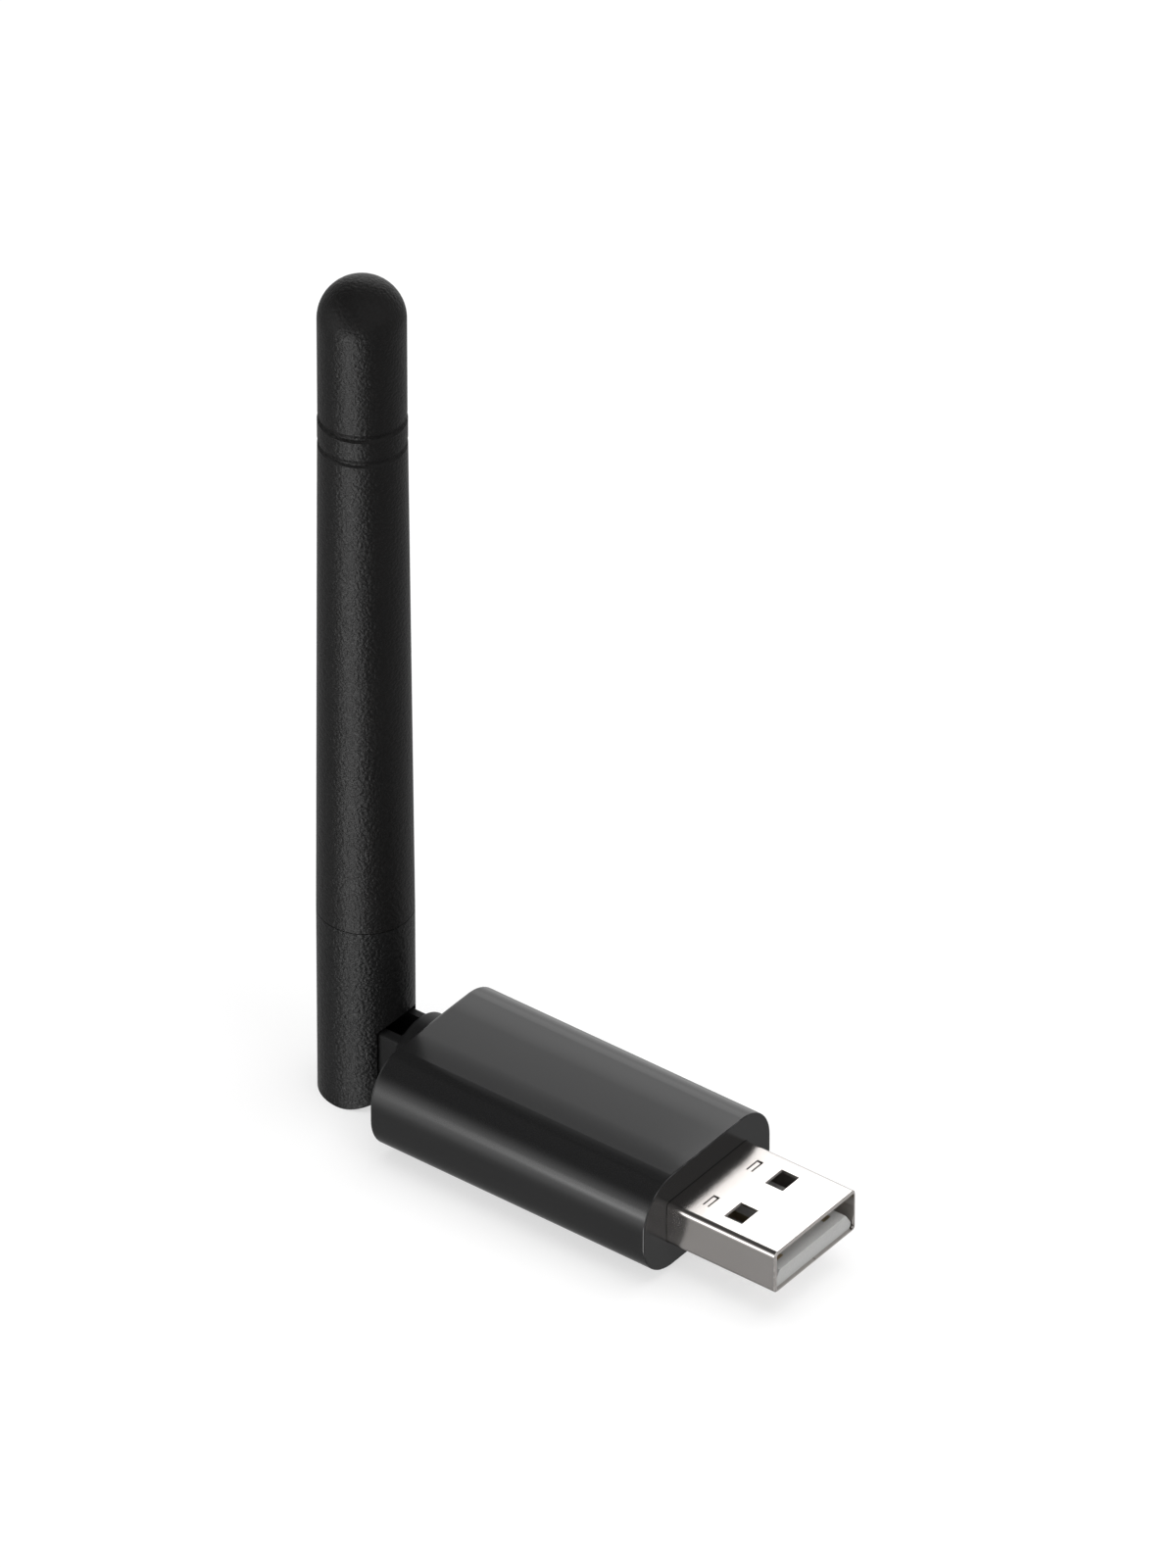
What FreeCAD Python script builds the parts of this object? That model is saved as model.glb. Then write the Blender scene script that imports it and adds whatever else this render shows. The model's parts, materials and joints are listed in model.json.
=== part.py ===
import FreeCAD, Part
import math
import os

from FreeCAD import Vector

# A smart home radio stick: a black drawn aluminium can with a standard USB-A plug in front and a short
# rod antenna at the rear, which folds at a knuckle and turns with a swivel base.
# Millimetres. X runs along the stick towards the plug, Z is up, and the origin is the centre of the
# can's flat bottom, on which the stick rests. The antenna is modelled upright.

# Can
can_length = 30.9
can_width = 18.7
can_height = 10.1
can_corner_radius = 4.25
can_top_crown = 0.17
can_wall = 1.0
can_front_wall = 1.2
can_rear_edge_radius = 0.35
can_front_edge_radius = 0.12
axis_height = 5.05
fillet_wall_share = 0.6

# Rails that hold the board inside the can
rail_depth = 1.0
rail_thickness = 0.8
rail_start = 4.7
board_rail_gap = 0.08

# USB plug
plug_width = 12.0
plug_height = 4.5
plug_reach = 12.1
plug_tail = 6.7
plug_sheet = 0.3
plug_corner_radius = 0.5
plug_front_bevel = 0.14
plug_aperture_gap = 0.05
window_width = 2.5
window_length = 2.0
window_spacing = 6.04
window_from_front = 5.0
lance_width = 1.7
lance_length = 0.7
lance_from_root = 2.55
lance_slit = 0.17
lance_end_slit = 0.27
lance_shift = 0.2
shell_seam = 0.06
shell_leg_length = 1.8
shell_leg_drop = 3.2
shell_leg_from_tail = 1.2
shell_leg_stand_off = 0.2
insert_width = 11.2
insert_thickness = 1.7
insert_recess = 0.3
insert_block_start = 1.0
insert_block_end = 6.2
insert_chamfer_wide = 0.7
insert_chamfer_deep = 1.1
insert_foot_chamfer = 0.2
contact_width = 1.0
contact_thickness = 0.2
contact_inner_spacing = 2.0
contact_outer_spacing = 7.0
contact_outer_setback = 1.3
contact_inner_setback = 2.3
contact_foot_length = 1.2

# Circuit board
board_side_gap = 0.45
board_thickness = 1.0
board_top = 4.1
board_rear_setback = 4.6
board_front_gap = 0.3
board_notch_gap = 0.15
board_corner_cut = 0.8

# Parts on the board. A size is length along X, width along Y and height. A place near a long side of the
# board is given as how far in it lies from that side, with the sign of the side's Y.
shield_size = (8.0, 9.4, 1.5)
shield_from_tail = 5.65
shield_from_side = 0.9
shield_sheet = 0.15
shield_bend_radius = 0.3
chip_bevel = 0.08
chip_mark_inset = 0.6
chip_mark_radius = 0.2
chip_mark_depth = 0.05
radio_chip_size = (4.0, 4.0, 0.85)
radio_chip_offset = (0.75, -0.9)
radio_crystal_size = (2.0, 1.6, 0.5)
radio_crystal_offset = (-2.1, 2.2)
crystal_base_height = 0.3
crystal_lid_inset = 0.15
bridge_chip_size = (4.0, 4.0, 0.8)
bridge_chip_front_gap = 0.2
bridge_chip_inset = 2.8
regulator_size = (2.9, 1.6, 1.0)
regulator_from_rear = 8.45
regulator_inset = 2.05
regulator_lead_width = 0.4
regulator_lead_reach = 0.6
regulator_lead_thickness = 0.15
regulator_lead_pitch = 0.95
lead_root = 0.2
leaded_body_lift = 0.1
diode_size = (1.6, 2.9, 1.0)
diode_front_gap = 1.3
diode_y = -0.6
chip_capacitor_size = (1.0, 0.5, 0.5)
chip_resistor_size = (1.0, 0.5, 0.35)
chip_column_gap = 0.8
chip_column_insets = (1.9, 3.1, 4.3)
chip_row_insets = (1.3, 2.5)
chip_row_gap = 1.2
chip_row_pitch = 1.5
rear_chip_from_rear = 3.05
rear_chip_insets = (3.5, -3.5, -2.3)
bias_chip_y = 1.5
socket_side = 2.6
socket_thickness = 0.35
socket_ring_radius = 1.0
socket_ring_height = 0.75
socket_ring_wall = 0.2
socket_pin_radius = 0.2
socket_from_rear = 8.3

# Coaxial cable
cable_diameter = 1.13
cable_plug_radius = 1.3
cable_plug_height = 1.0
cable_plug_clearance = 0.05
cable_crimp_radius = 0.8
cable_crimp_length = 1.7
cable_bend_radius = 3.0

# Rear cap
cap_thickness = 2.0
cap_fit_gap = 0.05
cap_skirt_depth = 4.2
cap_skirt_wall = 0.8
cap_snap_width = 6.0
cap_snap_height = 0.3
cap_snap_length = 0.8
cap_snap_from_rear = 2.7
cap_snap_gap = 0.08

# Swivel base
neck_radius = 2.6
neck_clearance = 0.05
neck_bore_radius = 0.7
neck_length = 3.6
neck_edge_cut = 0.2
collar_radius = 4.4
collar_thickness = 1.65
collar_gap = 0.1
collar_edge_radius = 0.3
ring_groove_depth = 0.5
ring_thickness = 0.5
ring_outer_radius = 3.05
ring_slack = 0.04
ring_axial_gap = 0.1
ring_mouth = 2.6
swivel_travel = 90.0
stop_radius = 3.55
stop_width = 0.6
stop_height = 0.55
stop_clearance = 0.1
stop_root = 0.2
stop_half_angle = 9.0
stop_end_angle = 1.5

# Tongue of the swivel base
hinge_offset = 7.55
tongue_width = 5.1
tongue_height = 6.0
tongue_cheek = 1.0
tongue_floor_drop = 0.8
tongue_edge_radius = 0.35
channel_wall = 0.6
trunnion_radius = 1.25
trunnion_reach = 1.15
trunnion_clearance = 0.05
trunnion_end_gap = 0.1
trunnion_edge_cut = 0.2

# Antenna knuckle
knuckle_radius = 4.45
knuckle_height = 14.4
knuckle_end_gap = 0.1
slot_side_gap = 0.3
slot_back_gap = 0.15
slot_roof_radius = 4.3
slot_corner_radius = 0.5
spigot_radius = 3.3
spigot_height = 6.0
spigot_root = 1.0
spigot_lead_in = 0.4
spigot_end_gap = 0.3
spigot_bead_height = 0.15
spigot_bead_length = 0.8
spigot_bead_from_seam = 3.6
knuckle_bore_radius = 0.65

# Antenna sleeve
sleeve_base_radius = 4.45
sleeve_neck_radius = 4.04
sleeve_tip_radius = 4.0
sleeve_dome_base = 79.27
sleeve_wall = 1.0
sleeve_seam_break = 0.08
groove_heights = (66.15, 68.85)
groove_width = 0.8
groove_depth = 0.16
spigot_fit_gap = 0.04

# Radiator inside the antenna
choke_radius = 2.5
choke_wall = 0.25
choke_length = 27.0
choke_base = 24.0
choke_cap = 0.4
wire_radius = 0.45
wire_length = 26.0
wire_end_radius = 0.18

# How far a cutting shape reaches past the faces that it cuts, and how close two numbers count as equal
over = 1.0
tiny = 1e-6

x_rear = -can_length / 2
x_front = can_length / 2
x_hinge = x_rear - hinge_offset
x_collar_front = x_rear - collar_gap
x_collar_rear = x_collar_front - collar_thickness
x_neck_end = x_rear + neck_length
knuckle_reach = x_collar_rear - knuckle_end_gap - x_hinge
x_plug_front = x_front + plug_reach
x_plug_tail = x_front - plug_tail
cable_radius = cable_diameter / 2
seam_height = axis_height + knuckle_height
inside_half = can_width / 2 - can_wall
rail_reach = inside_half - rail_depth
board_half = inside_half - board_side_gap
x_board_rear = x_rear + board_rear_setback
x_shield_front = x_plug_tail - shield_from_tail
x_shield_rear = x_shield_front - shield_size[0]
shield_centre = (
    (x_shield_front + x_shield_rear) / 2,
    -board_half + shield_from_side + shield_size[1] / 2,
)
x_regulator = x_board_rear + regulator_from_rear
x_front_chips = x_shield_front + chip_column_gap + chip_capacitor_size[0] / 2
x_side_chips = x_shield_rear - chip_column_gap


def box(low, high):
    """Block between two corners."""
    size = [high[i] - low[i] for i in range(3)]
    return Part.makeBox(size[0], size[1], size[2], Vector(*low))


def rod(radius, start, end):
    """Round rod from one point to another."""
    a, b = Vector(*start), Vector(*end)
    return Part.makeCylinder(radius, (b - a).Length, a, b - a)


def turned(points, centre, axis):
    """Solid turned about an axis through centre, from a closed outline of (station, radius) points."""
    along = Vector(*axis)
    across = Vector(0, 1, 0)
    base = Vector(*centre)
    outline = [base + along * station + across * radius for station, radius in points]
    face = Part.Face(Part.makePolygon(outline + [outline[0]]))
    return face.revolve(base, along, 360)


def rounded_prism(x0, x1, width, height, radius, centre_height=axis_height):
    """Block along X with rounded long edges."""
    low = (x0, -width / 2, centre_height - height / 2)
    high = (x1, width / 2, centre_height + height / 2)
    block = box(low, high)
    long_edges = [edge for edge in block.Edges if abs(edge.BoundBox.XLength - (x1 - x0)) < tiny]
    return block.makeFillet(radius, long_edges)


def edges_at_x(shape, x):
    """Edges of a shape that lie in the plane at x."""
    close = 100 * tiny
    flat = [edge for edge in shape.Edges if edge.BoundBox.XLength < close]
    return [edge for edge in flat if abs(edge.BoundBox.XMin - x) < close]


def can_outline(x, inset):
    """Closed outline of the can's section, drawn in by inset: flat bottom, round corners, crowned top."""
    crown_radius = ((can_width / 2) ** 2 + can_top_crown**2) / (2 * can_top_crown)
    crown_centre = can_height - crown_radius
    half = can_width / 2 - inset
    radius = can_corner_radius - inset
    crown = crown_radius - inset
    corner_y = half - radius
    top_z = crown_centre + math.sqrt((crown - radius) ** 2 - corner_y**2)
    bottom_z = can_corner_radius
    lean = math.atan2(corner_y, top_z - crown_centre)
    shoulder = Vector(x, crown * math.sin(lean), crown_centre + crown * math.cos(lean))

    def corner(z, degrees):
        angle = math.radians(degrees)
        return Vector(x, corner_y + radius * math.cos(angle), z + radius * math.sin(angle))

    def mirrored(point):
        return Vector(point.x, -point.y, point.z)

    foot = corner(bottom_z, -90)
    low_side = corner(bottom_z, 0)
    high_side = Vector(x, half, top_z)
    bend = corner(top_z, 45)
    edges = [
        Part.LineSegment(mirrored(foot), foot),
        Part.Arc(foot, corner(bottom_z, -45), low_side),
        Part.LineSegment(low_side, high_side),
        Part.Arc(high_side, bend, shoulder),
        Part.Arc(shoulder, Vector(x, 0, can_height - inset), mirrored(shoulder)),
        Part.Arc(mirrored(shoulder), mirrored(bend), mirrored(high_side)),
        Part.LineSegment(mirrored(high_side), mirrored(low_side)),
        Part.Arc(mirrored(low_side), mirrored(corner(bottom_z, -45)), mirrored(foot)),
    ]
    return Part.Wire([edge.toShape() for edge in edges])


def can_prism(x0, x1, inset):
    """Block with the can's section, drawn in by inset."""
    return Part.Face(can_outline(x0, inset)).extrude(Vector(x1 - x0, 0, 0))


def snap_wedge(grow):
    """The two snap wedges on the cap's skirt, larger by grow for their pockets in the can."""
    skirt_inset = can_wall + cap_fit_gap
    x0 = x_rear + cap_snap_from_rear - grow
    x1 = x0 + cap_snap_length + 2 * grow
    half = cap_snap_width / 2 + grow
    drop = cap_skirt_wall / 2
    wedges = []
    for side in (1, -1):
        surface = can_height - skirt_inset if side > 0 else skirt_inset
        outline = [
            Vector(x0, -half, surface - side * drop),
            Vector(x0, -half, surface + side * (cap_snap_height + grow)),
            Vector(x1, -half, surface + side * grow),
            Vector(x1, -half, surface - side * drop),
        ]
        face = Part.Face(Part.makePolygon(outline + [outline[0]]))
        wedges.append(face.extrude(Vector(0, 2 * half, 0)))
    return wedges


def make_can():
    """One-piece can: crowned tube with a closed front, a plug aperture, board rails and snap pockets."""
    outer = can_prism(x_rear, x_front, 0)
    rear_radius = min(can_rear_edge_radius, fillet_wall_share * can_wall)
    outer = outer.makeFillet(rear_radius, edges_at_x(outer, x_rear))
    outer = outer.makeFillet(can_front_edge_radius, edges_at_x(outer, x_front))
    x_inside = x_front - can_front_wall
    x_rail_end = x_inside + can_front_wall / 2
    can = outer.cut(can_prism(x_rear - over, x_inside, can_wall))
    rails = []
    for z0 in (board_top + board_rail_gap, board_top - board_thickness - board_rail_gap - rail_thickness):
        for side in (1, -1):
            y0, y1 = sorted((side * rail_reach, side * can_width / 2))
            rails.append(box((x_rear + rail_start, y0, z0), (x_rail_end, y1, z0 + rail_thickness)))
    inside = can_prism(x_rear + rail_start, x_rail_end, can_wall / 2)
    can = can.fuse([rail.common(inside) for rail in rails])
    aperture = rounded_prism(
        x_inside - over,
        x_front + over,
        plug_width + 2 * plug_aperture_gap,
        plug_height + 2 * plug_aperture_gap,
        plug_corner_radius + plug_aperture_gap,
    )
    can = can.cut([aperture] + snap_wedge(cap_snap_gap))
    return can.removeSplitter()


def stop_arc(radius_in, radius_out, x0, x1, half_angle):
    """Arc block about the swivel axis, centred straight down, as used for the stop lug and its groove."""
    ring = rod(radius_out, (x0, 0, axis_height), (x1, 0, axis_height))
    ring = ring.cut(rod(radius_in, (x0 - over, 0, axis_height), (x1 + over, 0, axis_height)))
    reach = 3 * radius_out
    sector = Part.Face(
        Part.Wire(
            [
                Part.LineSegment(Vector(x0, 0, axis_height), sector_point(x0, reach, -half_angle)).toShape(),
                Part.Arc(
                    sector_point(x0, reach, -half_angle),
                    sector_point(x0, reach, 0),
                    sector_point(x0, reach, half_angle),
                ).toShape(),
                Part.LineSegment(sector_point(x0, reach, half_angle), Vector(x0, 0, axis_height)).toShape(),
            ]
        )
    ).extrude(Vector(x1 - x0, 0, 0))
    return ring.common(sector)


def sector_point(x, radius, degrees):
    """Point at an angle from straight down, about the swivel axis."""
    angle = math.radians(degrees)
    return Vector(x, radius * math.sin(angle), axis_height - radius * math.cos(angle))


def make_rear_cap():
    """Cap that closes the can: plate, skirt with two snap wedges, bore for the neck and stop groove."""
    fit = can_wall + cap_fit_gap
    cap = can_prism(x_rear, x_rear + cap_skirt_depth, fit)
    cap = cap.cut(can_prism(x_rear + cap_thickness, x_rear + cap_skirt_depth + over, fit + cap_skirt_wall))
    cap = cap.fuse(snap_wedge(0))
    bore = rod(
        neck_radius + neck_clearance,
        (x_rear - over, 0, axis_height),
        (x_rear + cap_thickness + over, 0, axis_height),
    )
    groove_half = swivel_travel + stop_half_angle + stop_end_angle
    groove = stop_arc(
        stop_radius - stop_width / 2 - stop_clearance,
        stop_radius + stop_width / 2 + stop_clearance,
        x_rear - over,
        x_rear + stop_height,
        groove_half,
    )
    return cap.cut([bore, groove]).removeSplitter()


def make_board():
    """Circuit board with a notch for the plug's tail and four slots for the shell's legs."""
    x0 = x_board_rear
    x1 = x_front - can_front_wall - board_front_gap
    half = board_half
    cut = board_corner_cut
    corners = [
        (x0 + cut, -half), (x1, -half), (x1, half), (x0 + cut, half), (x0, half - cut), (x0, -half + cut),
    ]
    z0 = board_top - board_thickness
    outline = [Vector(x, y, z0) for x, y in corners]
    board = Part.Face(Part.makePolygon(outline + [outline[0]])).extrude(Vector(0, 0, board_thickness))
    notch_half = plug_width / 2 + board_notch_gap
    notch = box(
        (x_plug_tail - board_notch_gap, -notch_half, z0 - over),
        (x1 + over, notch_half, board_top + over),
    )
    slots = []
    for side in (1, -1):
        low, high = shell_leg_box(side)
        gap = board_notch_gap
        slots.append(
            box((low[0] - gap, low[1] - gap, z0 - over), (high[0] + gap, high[1] + gap, board_top + over))
        )
    return board.cut([notch] + slots).removeSplitter()


def shell_leg_box(side):
    """Corners of a shell leg, which stands beside the shell and goes down through the board."""
    x0 = x_plug_tail + shell_leg_from_tail
    y_near = plug_width / 2 + 2 * board_notch_gap + shell_leg_stand_off
    y0, y1 = sorted((side * y_near, side * (y_near + plug_sheet)))
    return (x0, y0, axis_height - shell_leg_drop), (x0 + shell_leg_length, y1, axis_height + plug_sheet)


def make_usb_shell():
    """Folded sheet shell: windows and lances, open seam below, bevelled mouth and two soldered legs."""
    outer = rounded_prism(x_plug_tail, x_plug_front, plug_width, plug_height, plug_corner_radius)
    outer = outer.makeChamfer(plug_front_bevel, edges_at_x(outer, x_plug_front))
    hollow = rounded_prism(
        x_plug_tail - over,
        x_plug_front + over,
        plug_width - 2 * plug_sheet,
        plug_height - 2 * plug_sheet,
        plug_corner_radius - plug_sheet,
    )
    shell = outer.cut(hollow)
    top = axis_height + plug_height / 2
    cuts = []
    for side in (1, -1):
        y = side * window_spacing / 2
        x1 = x_plug_front - window_from_front
        low = (x1 - window_length, y - window_width / 2, axis_height - plug_height)
        cuts.append(box(low, (x1, y + window_width / 2, axis_height + plug_height)))
        cuts.append(lance_slits(side, top))
    half_seam = shell_seam / 2
    cuts.append(
        box(
            (x_plug_tail - over, -half_seam, axis_height - plug_height),
            (x_plug_front + over, half_seam, axis_height - plug_height / 2 + 2 * plug_sheet),
        )
    )
    legs = []
    for side in (1, -1):
        low, high = shell_leg_box(side)
        legs.append(box(low, high))
        y0, y1 = sorted((side * (plug_width / 2 - plug_sheet), side * max(abs(low[1]), abs(high[1]))))
        legs.append(box((low[0], y0, axis_height), (high[0], y1, high[2])))
    return shell.cut(cuts).fuse(legs).removeSplitter()


def lance_slits(side, top):
    """U-shaped slit round one lance in the shell's top, open towards -Y."""
    x0 = x_front + lance_from_root
    x1 = x0 + lance_length
    centre = side * (window_spacing / 2 + lance_shift)
    y0 = centre - lance_width / 2
    y1 = centre + lance_width / 2
    z0 = top - 2 * plug_sheet
    z1 = top + over
    block = box((x0, y0, z0), (x1, y1, z1))
    tab = box((x0 + lance_slit, y0 - over, z0 - over), (x1 - lance_slit, y1 - lance_end_slit, z1 + over))
    return block.cut(tab)


def contact_layout():
    """Centre and front setback of each contact, from one side to the other."""
    outer, inner = contact_outer_spacing / 2, contact_inner_spacing / 2
    return [
        (-outer, contact_outer_setback),
        (-inner, contact_inner_setback),
        (inner, contact_inner_setback),
        (outer, contact_outer_setback),
    ]


def insert_top():
    """Height of the insert's upper face."""
    return axis_height - plug_height / 2 + plug_sheet + insert_thickness


def make_contact(centre, setback):
    """Flat contact strip: it lies in the insert, drops behind it and ends in a foot on the board."""
    top = insert_top()
    thin = contact_thickness
    x_tip = x_plug_front - setback
    x_drop = x_plug_tail + plug_tail - insert_block_end
    x_foot = x_plug_tail - contact_foot_length
    outline = [
        (x_tip, top),
        (x_drop - thin, top),
        (x_drop - thin, board_top + thin),
        (x_foot, board_top + thin),
        (x_foot, board_top),
        (x_drop, board_top),
        (x_drop, top - thin),
        (x_tip, top - thin),
    ]
    points = [Vector(x, centre - contact_width / 2, z) for x, z in outline]
    face = Part.Face(Part.makePolygon(points + [points[0]]))
    return face.extrude(Vector(0, contact_width, 0))


def make_usb_insert(contacts):
    """Moulded insert: the plug's tongue with chamfered corners, a rear block and the contacts' seats."""
    top = insert_top()
    bottom = top - insert_thickness
    half = insert_width / 2
    x_face = x_plug_front - insert_recess
    x_rear_face = x_front - insert_block_end
    foot = insert_foot_chamfer
    section = [
        (-half + foot, bottom),
        (half - foot, bottom),
        (half, bottom + foot),
        (half, top - insert_chamfer_deep),
        (half - insert_chamfer_wide, top),
        (-half + insert_chamfer_wide, top),
        (-half, top - insert_chamfer_deep),
        (-half, bottom + foot),
    ]
    points = [Vector(x_rear_face, y, z) for y, z in section]
    tongue = Part.Face(Part.makePolygon(points + [points[0]])).extrude(Vector(x_face - x_rear_face, 0, 0))
    block = rounded_prism(
        x_rear_face,
        x_front - insert_block_start,
        plug_width - 2 * plug_sheet,
        plug_height - 2 * plug_sheet,
        plug_corner_radius - plug_sheet,
    )
    return tongue.fuse(block).cut(contacts).removeSplitter()


def inset_place(x, inset):
    """Place on the board that lies inset from the long side whose Y has the inset's sign."""
    return (x, math.copysign(board_half - abs(inset), inset))


def beside(centre, offset):
    """Place that lies offset from another."""
    return (centre[0] + offset[0], centre[1] + offset[1])


def capacitor_places():
    """Places of the capacitors: a column behind the shield, one before it and a row beside the regulator."""
    x_row = x_regulator + regulator_size[0] / 2 + chip_row_gap
    column = [inset_place(x_side_chips, inset) for inset in chip_column_insets]
    column += [inset_place(x_front_chips, -inset) for inset in chip_column_insets]
    return column + [inset_place(x_row, inset) for inset in chip_row_insets]


def resistor_places():
    """Places of the resistors: a row beside the capacitors, three at the board's rear and one in front."""
    x_row = x_regulator + regulator_size[0] / 2 + chip_row_gap + chip_row_pitch
    places = [inset_place(x_row, inset) for inset in chip_row_insets]
    places += [inset_place(x_board_rear + rear_chip_from_rear, inset) for inset in rear_chip_insets]
    return places + [(x_front_chips, bias_chip_y)]


def on_board(size, centre, lift=0.0):
    """Block that stands on the board, from its size and the place of its centre."""
    length, width, height = size
    x, y = centre
    z0 = board_top + lift
    return box((x - length / 2, y - width / 2, z0), (x + length / 2, y + width / 2, z0 + height))


def make_shield():
    """Folded shield over the radio: five thin walls with bent corners."""
    length, width, height = shield_size
    block = on_board(shield_size, shield_centre)
    upright = [edge for edge in block.Edges if abs(edge.BoundBox.ZLength - height) < tiny]
    block = block.makeFillet(shield_bend_radius, upright)
    inner = (length - 2 * shield_sheet, width - 2 * shield_sheet, height - shield_sheet)
    return block.cut(on_board(inner, shield_centre))


def make_chip(size, centre):
    """Square chip with a bevelled upper edge and a round mark at its first pin."""
    block = on_board(size, centre)
    z1 = board_top + size[2]
    upper = [edge for edge in block.Edges if edge.BoundBox.ZMin > z1 - tiny]
    block = block.makeChamfer(chip_bevel, upper)
    x = centre[0] - size[0] / 2 + chip_mark_inset
    y = centre[1] - size[1] / 2 + chip_mark_inset
    return block.cut(rod(chip_mark_radius, (x, y, z1 - chip_mark_depth), (x, y, z1 + over)))


def make_crystal():
    """Crystal in a flat metal can on a ceramic base."""
    length, width, height = radio_crystal_size
    lid_size = (length - 2 * crystal_lid_inset, width - 2 * crystal_lid_inset, height - crystal_base_height)
    centre = beside(shield_centre, radio_crystal_offset)
    base = on_board((length, width, crystal_base_height), centre)
    lid = on_board(lid_size, centre, crystal_base_height)
    return base.fuse(lid).removeSplitter()


def make_leaded(size, centre, lead_counts, along_x):
    """Small package with gull leads on two sides, such as a regulator or a diode array."""
    length, width, height = size
    body = on_board((length, width, height - leaded_body_lift), centre, leaded_body_lift)
    leads = []
    for side, count in zip((1, -1), lead_counts):
        spread = regulator_lead_pitch * (2 if count == 2 else 1)
        for index in range(count):
            offset = (index - (count - 1) / 2) * spread
            across = (width if along_x else length) / 2
            reach = across + regulator_lead_reach
            low = across - lead_root
            a, b = sorted((side * low, side * reach))
            foot = regulator_lead_width / 2
            span_x = (offset - foot, offset + foot) if along_x else (a, b)
            span_y = (a, b) if along_x else (offset - foot, offset + foot)
            low_corner = (centre[0] + span_x[0], centre[1] + span_y[0], board_top)
            high_corner = (centre[0] + span_x[1], centre[1] + span_y[1], board_top + regulator_lead_thickness)
            leads.append(box(low_corner, high_corner))
    return body.fuse(leads).removeSplitter()


def make_socket():
    """Cable socket on the board: square base with a round contact ring."""
    x = x_rear + socket_from_rear
    base = on_board((socket_side, socket_side, socket_thickness), (x, 0))
    ring = rod(socket_ring_radius, (x, 0, board_top), (x, 0, board_top + socket_ring_height))
    ring_inside = socket_ring_radius - socket_ring_wall
    ring = ring.cut(rod(ring_inside, (x, 0, board_top), (x, 0, board_top + socket_ring_height + over)))
    pin = rod(socket_pin_radius, (x, 0, board_top), (x, 0, board_top + socket_ring_height))
    return base.fuse([ring, pin]).removeSplitter()


def make_cable_plug():
    """Snap-on plug of the cable: a round cap over the socket's ring and a crimp that grips the cable."""
    x = x_rear + socket_from_rear
    z0 = board_top + socket_thickness + cable_plug_clearance
    cap = rod(cable_plug_radius, (x, 0, z0), (x, 0, z0 + cable_plug_height))
    hollow_top = board_top + socket_ring_height + cable_plug_clearance
    hollow = rod(socket_ring_radius + cable_plug_clearance, (x, 0, z0 - over), (x, 0, hollow_top))
    x_grip = x - cable_plug_radius
    x_crimp = x_grip - cable_crimp_length
    crimp = rod(cable_crimp_radius, (x_crimp, 0, axis_height), (x, 0, axis_height))
    cable_hole = rod(cable_radius, (x_crimp - over, 0, axis_height), (x_grip, 0, axis_height))
    reach = cable_plug_radius + cable_crimp_length + over
    base_cut = box((x - reach, -reach, z0 - reach), (x + reach, reach, z0))
    return cap.fuse(crimp).cut([hollow, cable_hole, base_cut]).removeSplitter()


def make_pigtail():
    """Cable from its plug to the inner end of the swivel's neck, on the swivel axis."""
    x_end = x_rear + socket_from_rear - cable_plug_radius
    return rod(cable_radius, (x_neck_end, 0, axis_height), (x_end, 0, axis_height))


def make_cable_bend():
    """Cable through the neck and the tongue's channel, round the hinge and up into the knuckle."""
    turn_x = x_hinge + cable_bend_radius
    turn_z = axis_height + cable_bend_radius
    middle = Vector(
        turn_x - cable_bend_radius * math.sin(math.pi / 4),
        0,
        turn_z - cable_bend_radius * math.cos(math.pi / 4),
    )
    start = Vector(x_neck_end, 0, axis_height)
    bend_start = Vector(turn_x, 0, axis_height)
    bend_end = Vector(x_hinge, 0, turn_z)
    end = Vector(x_hinge, 0, axis_height + slot_roof_radius)
    path = Part.Wire(
        [
            Part.LineSegment(start, bend_start).toShape(),
            Part.Arc(bend_start, middle, bend_end).toShape(),
            Part.LineSegment(bend_end, end).toShape(),
        ]
    )
    section = Part.Wire(Part.makeCircle(cable_radius, start, Vector(1, 0, 0)))
    return path.makePipeShell([section], True, True)


def make_antenna_cable():
    """Cable inside the antenna, from the knuckle's slot to the feed point."""
    return rod(
        cable_radius,
        (x_hinge, 0, axis_height + slot_roof_radius),
        (x_hinge, 0, axis_height + choke_base + choke_length),
    )


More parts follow.
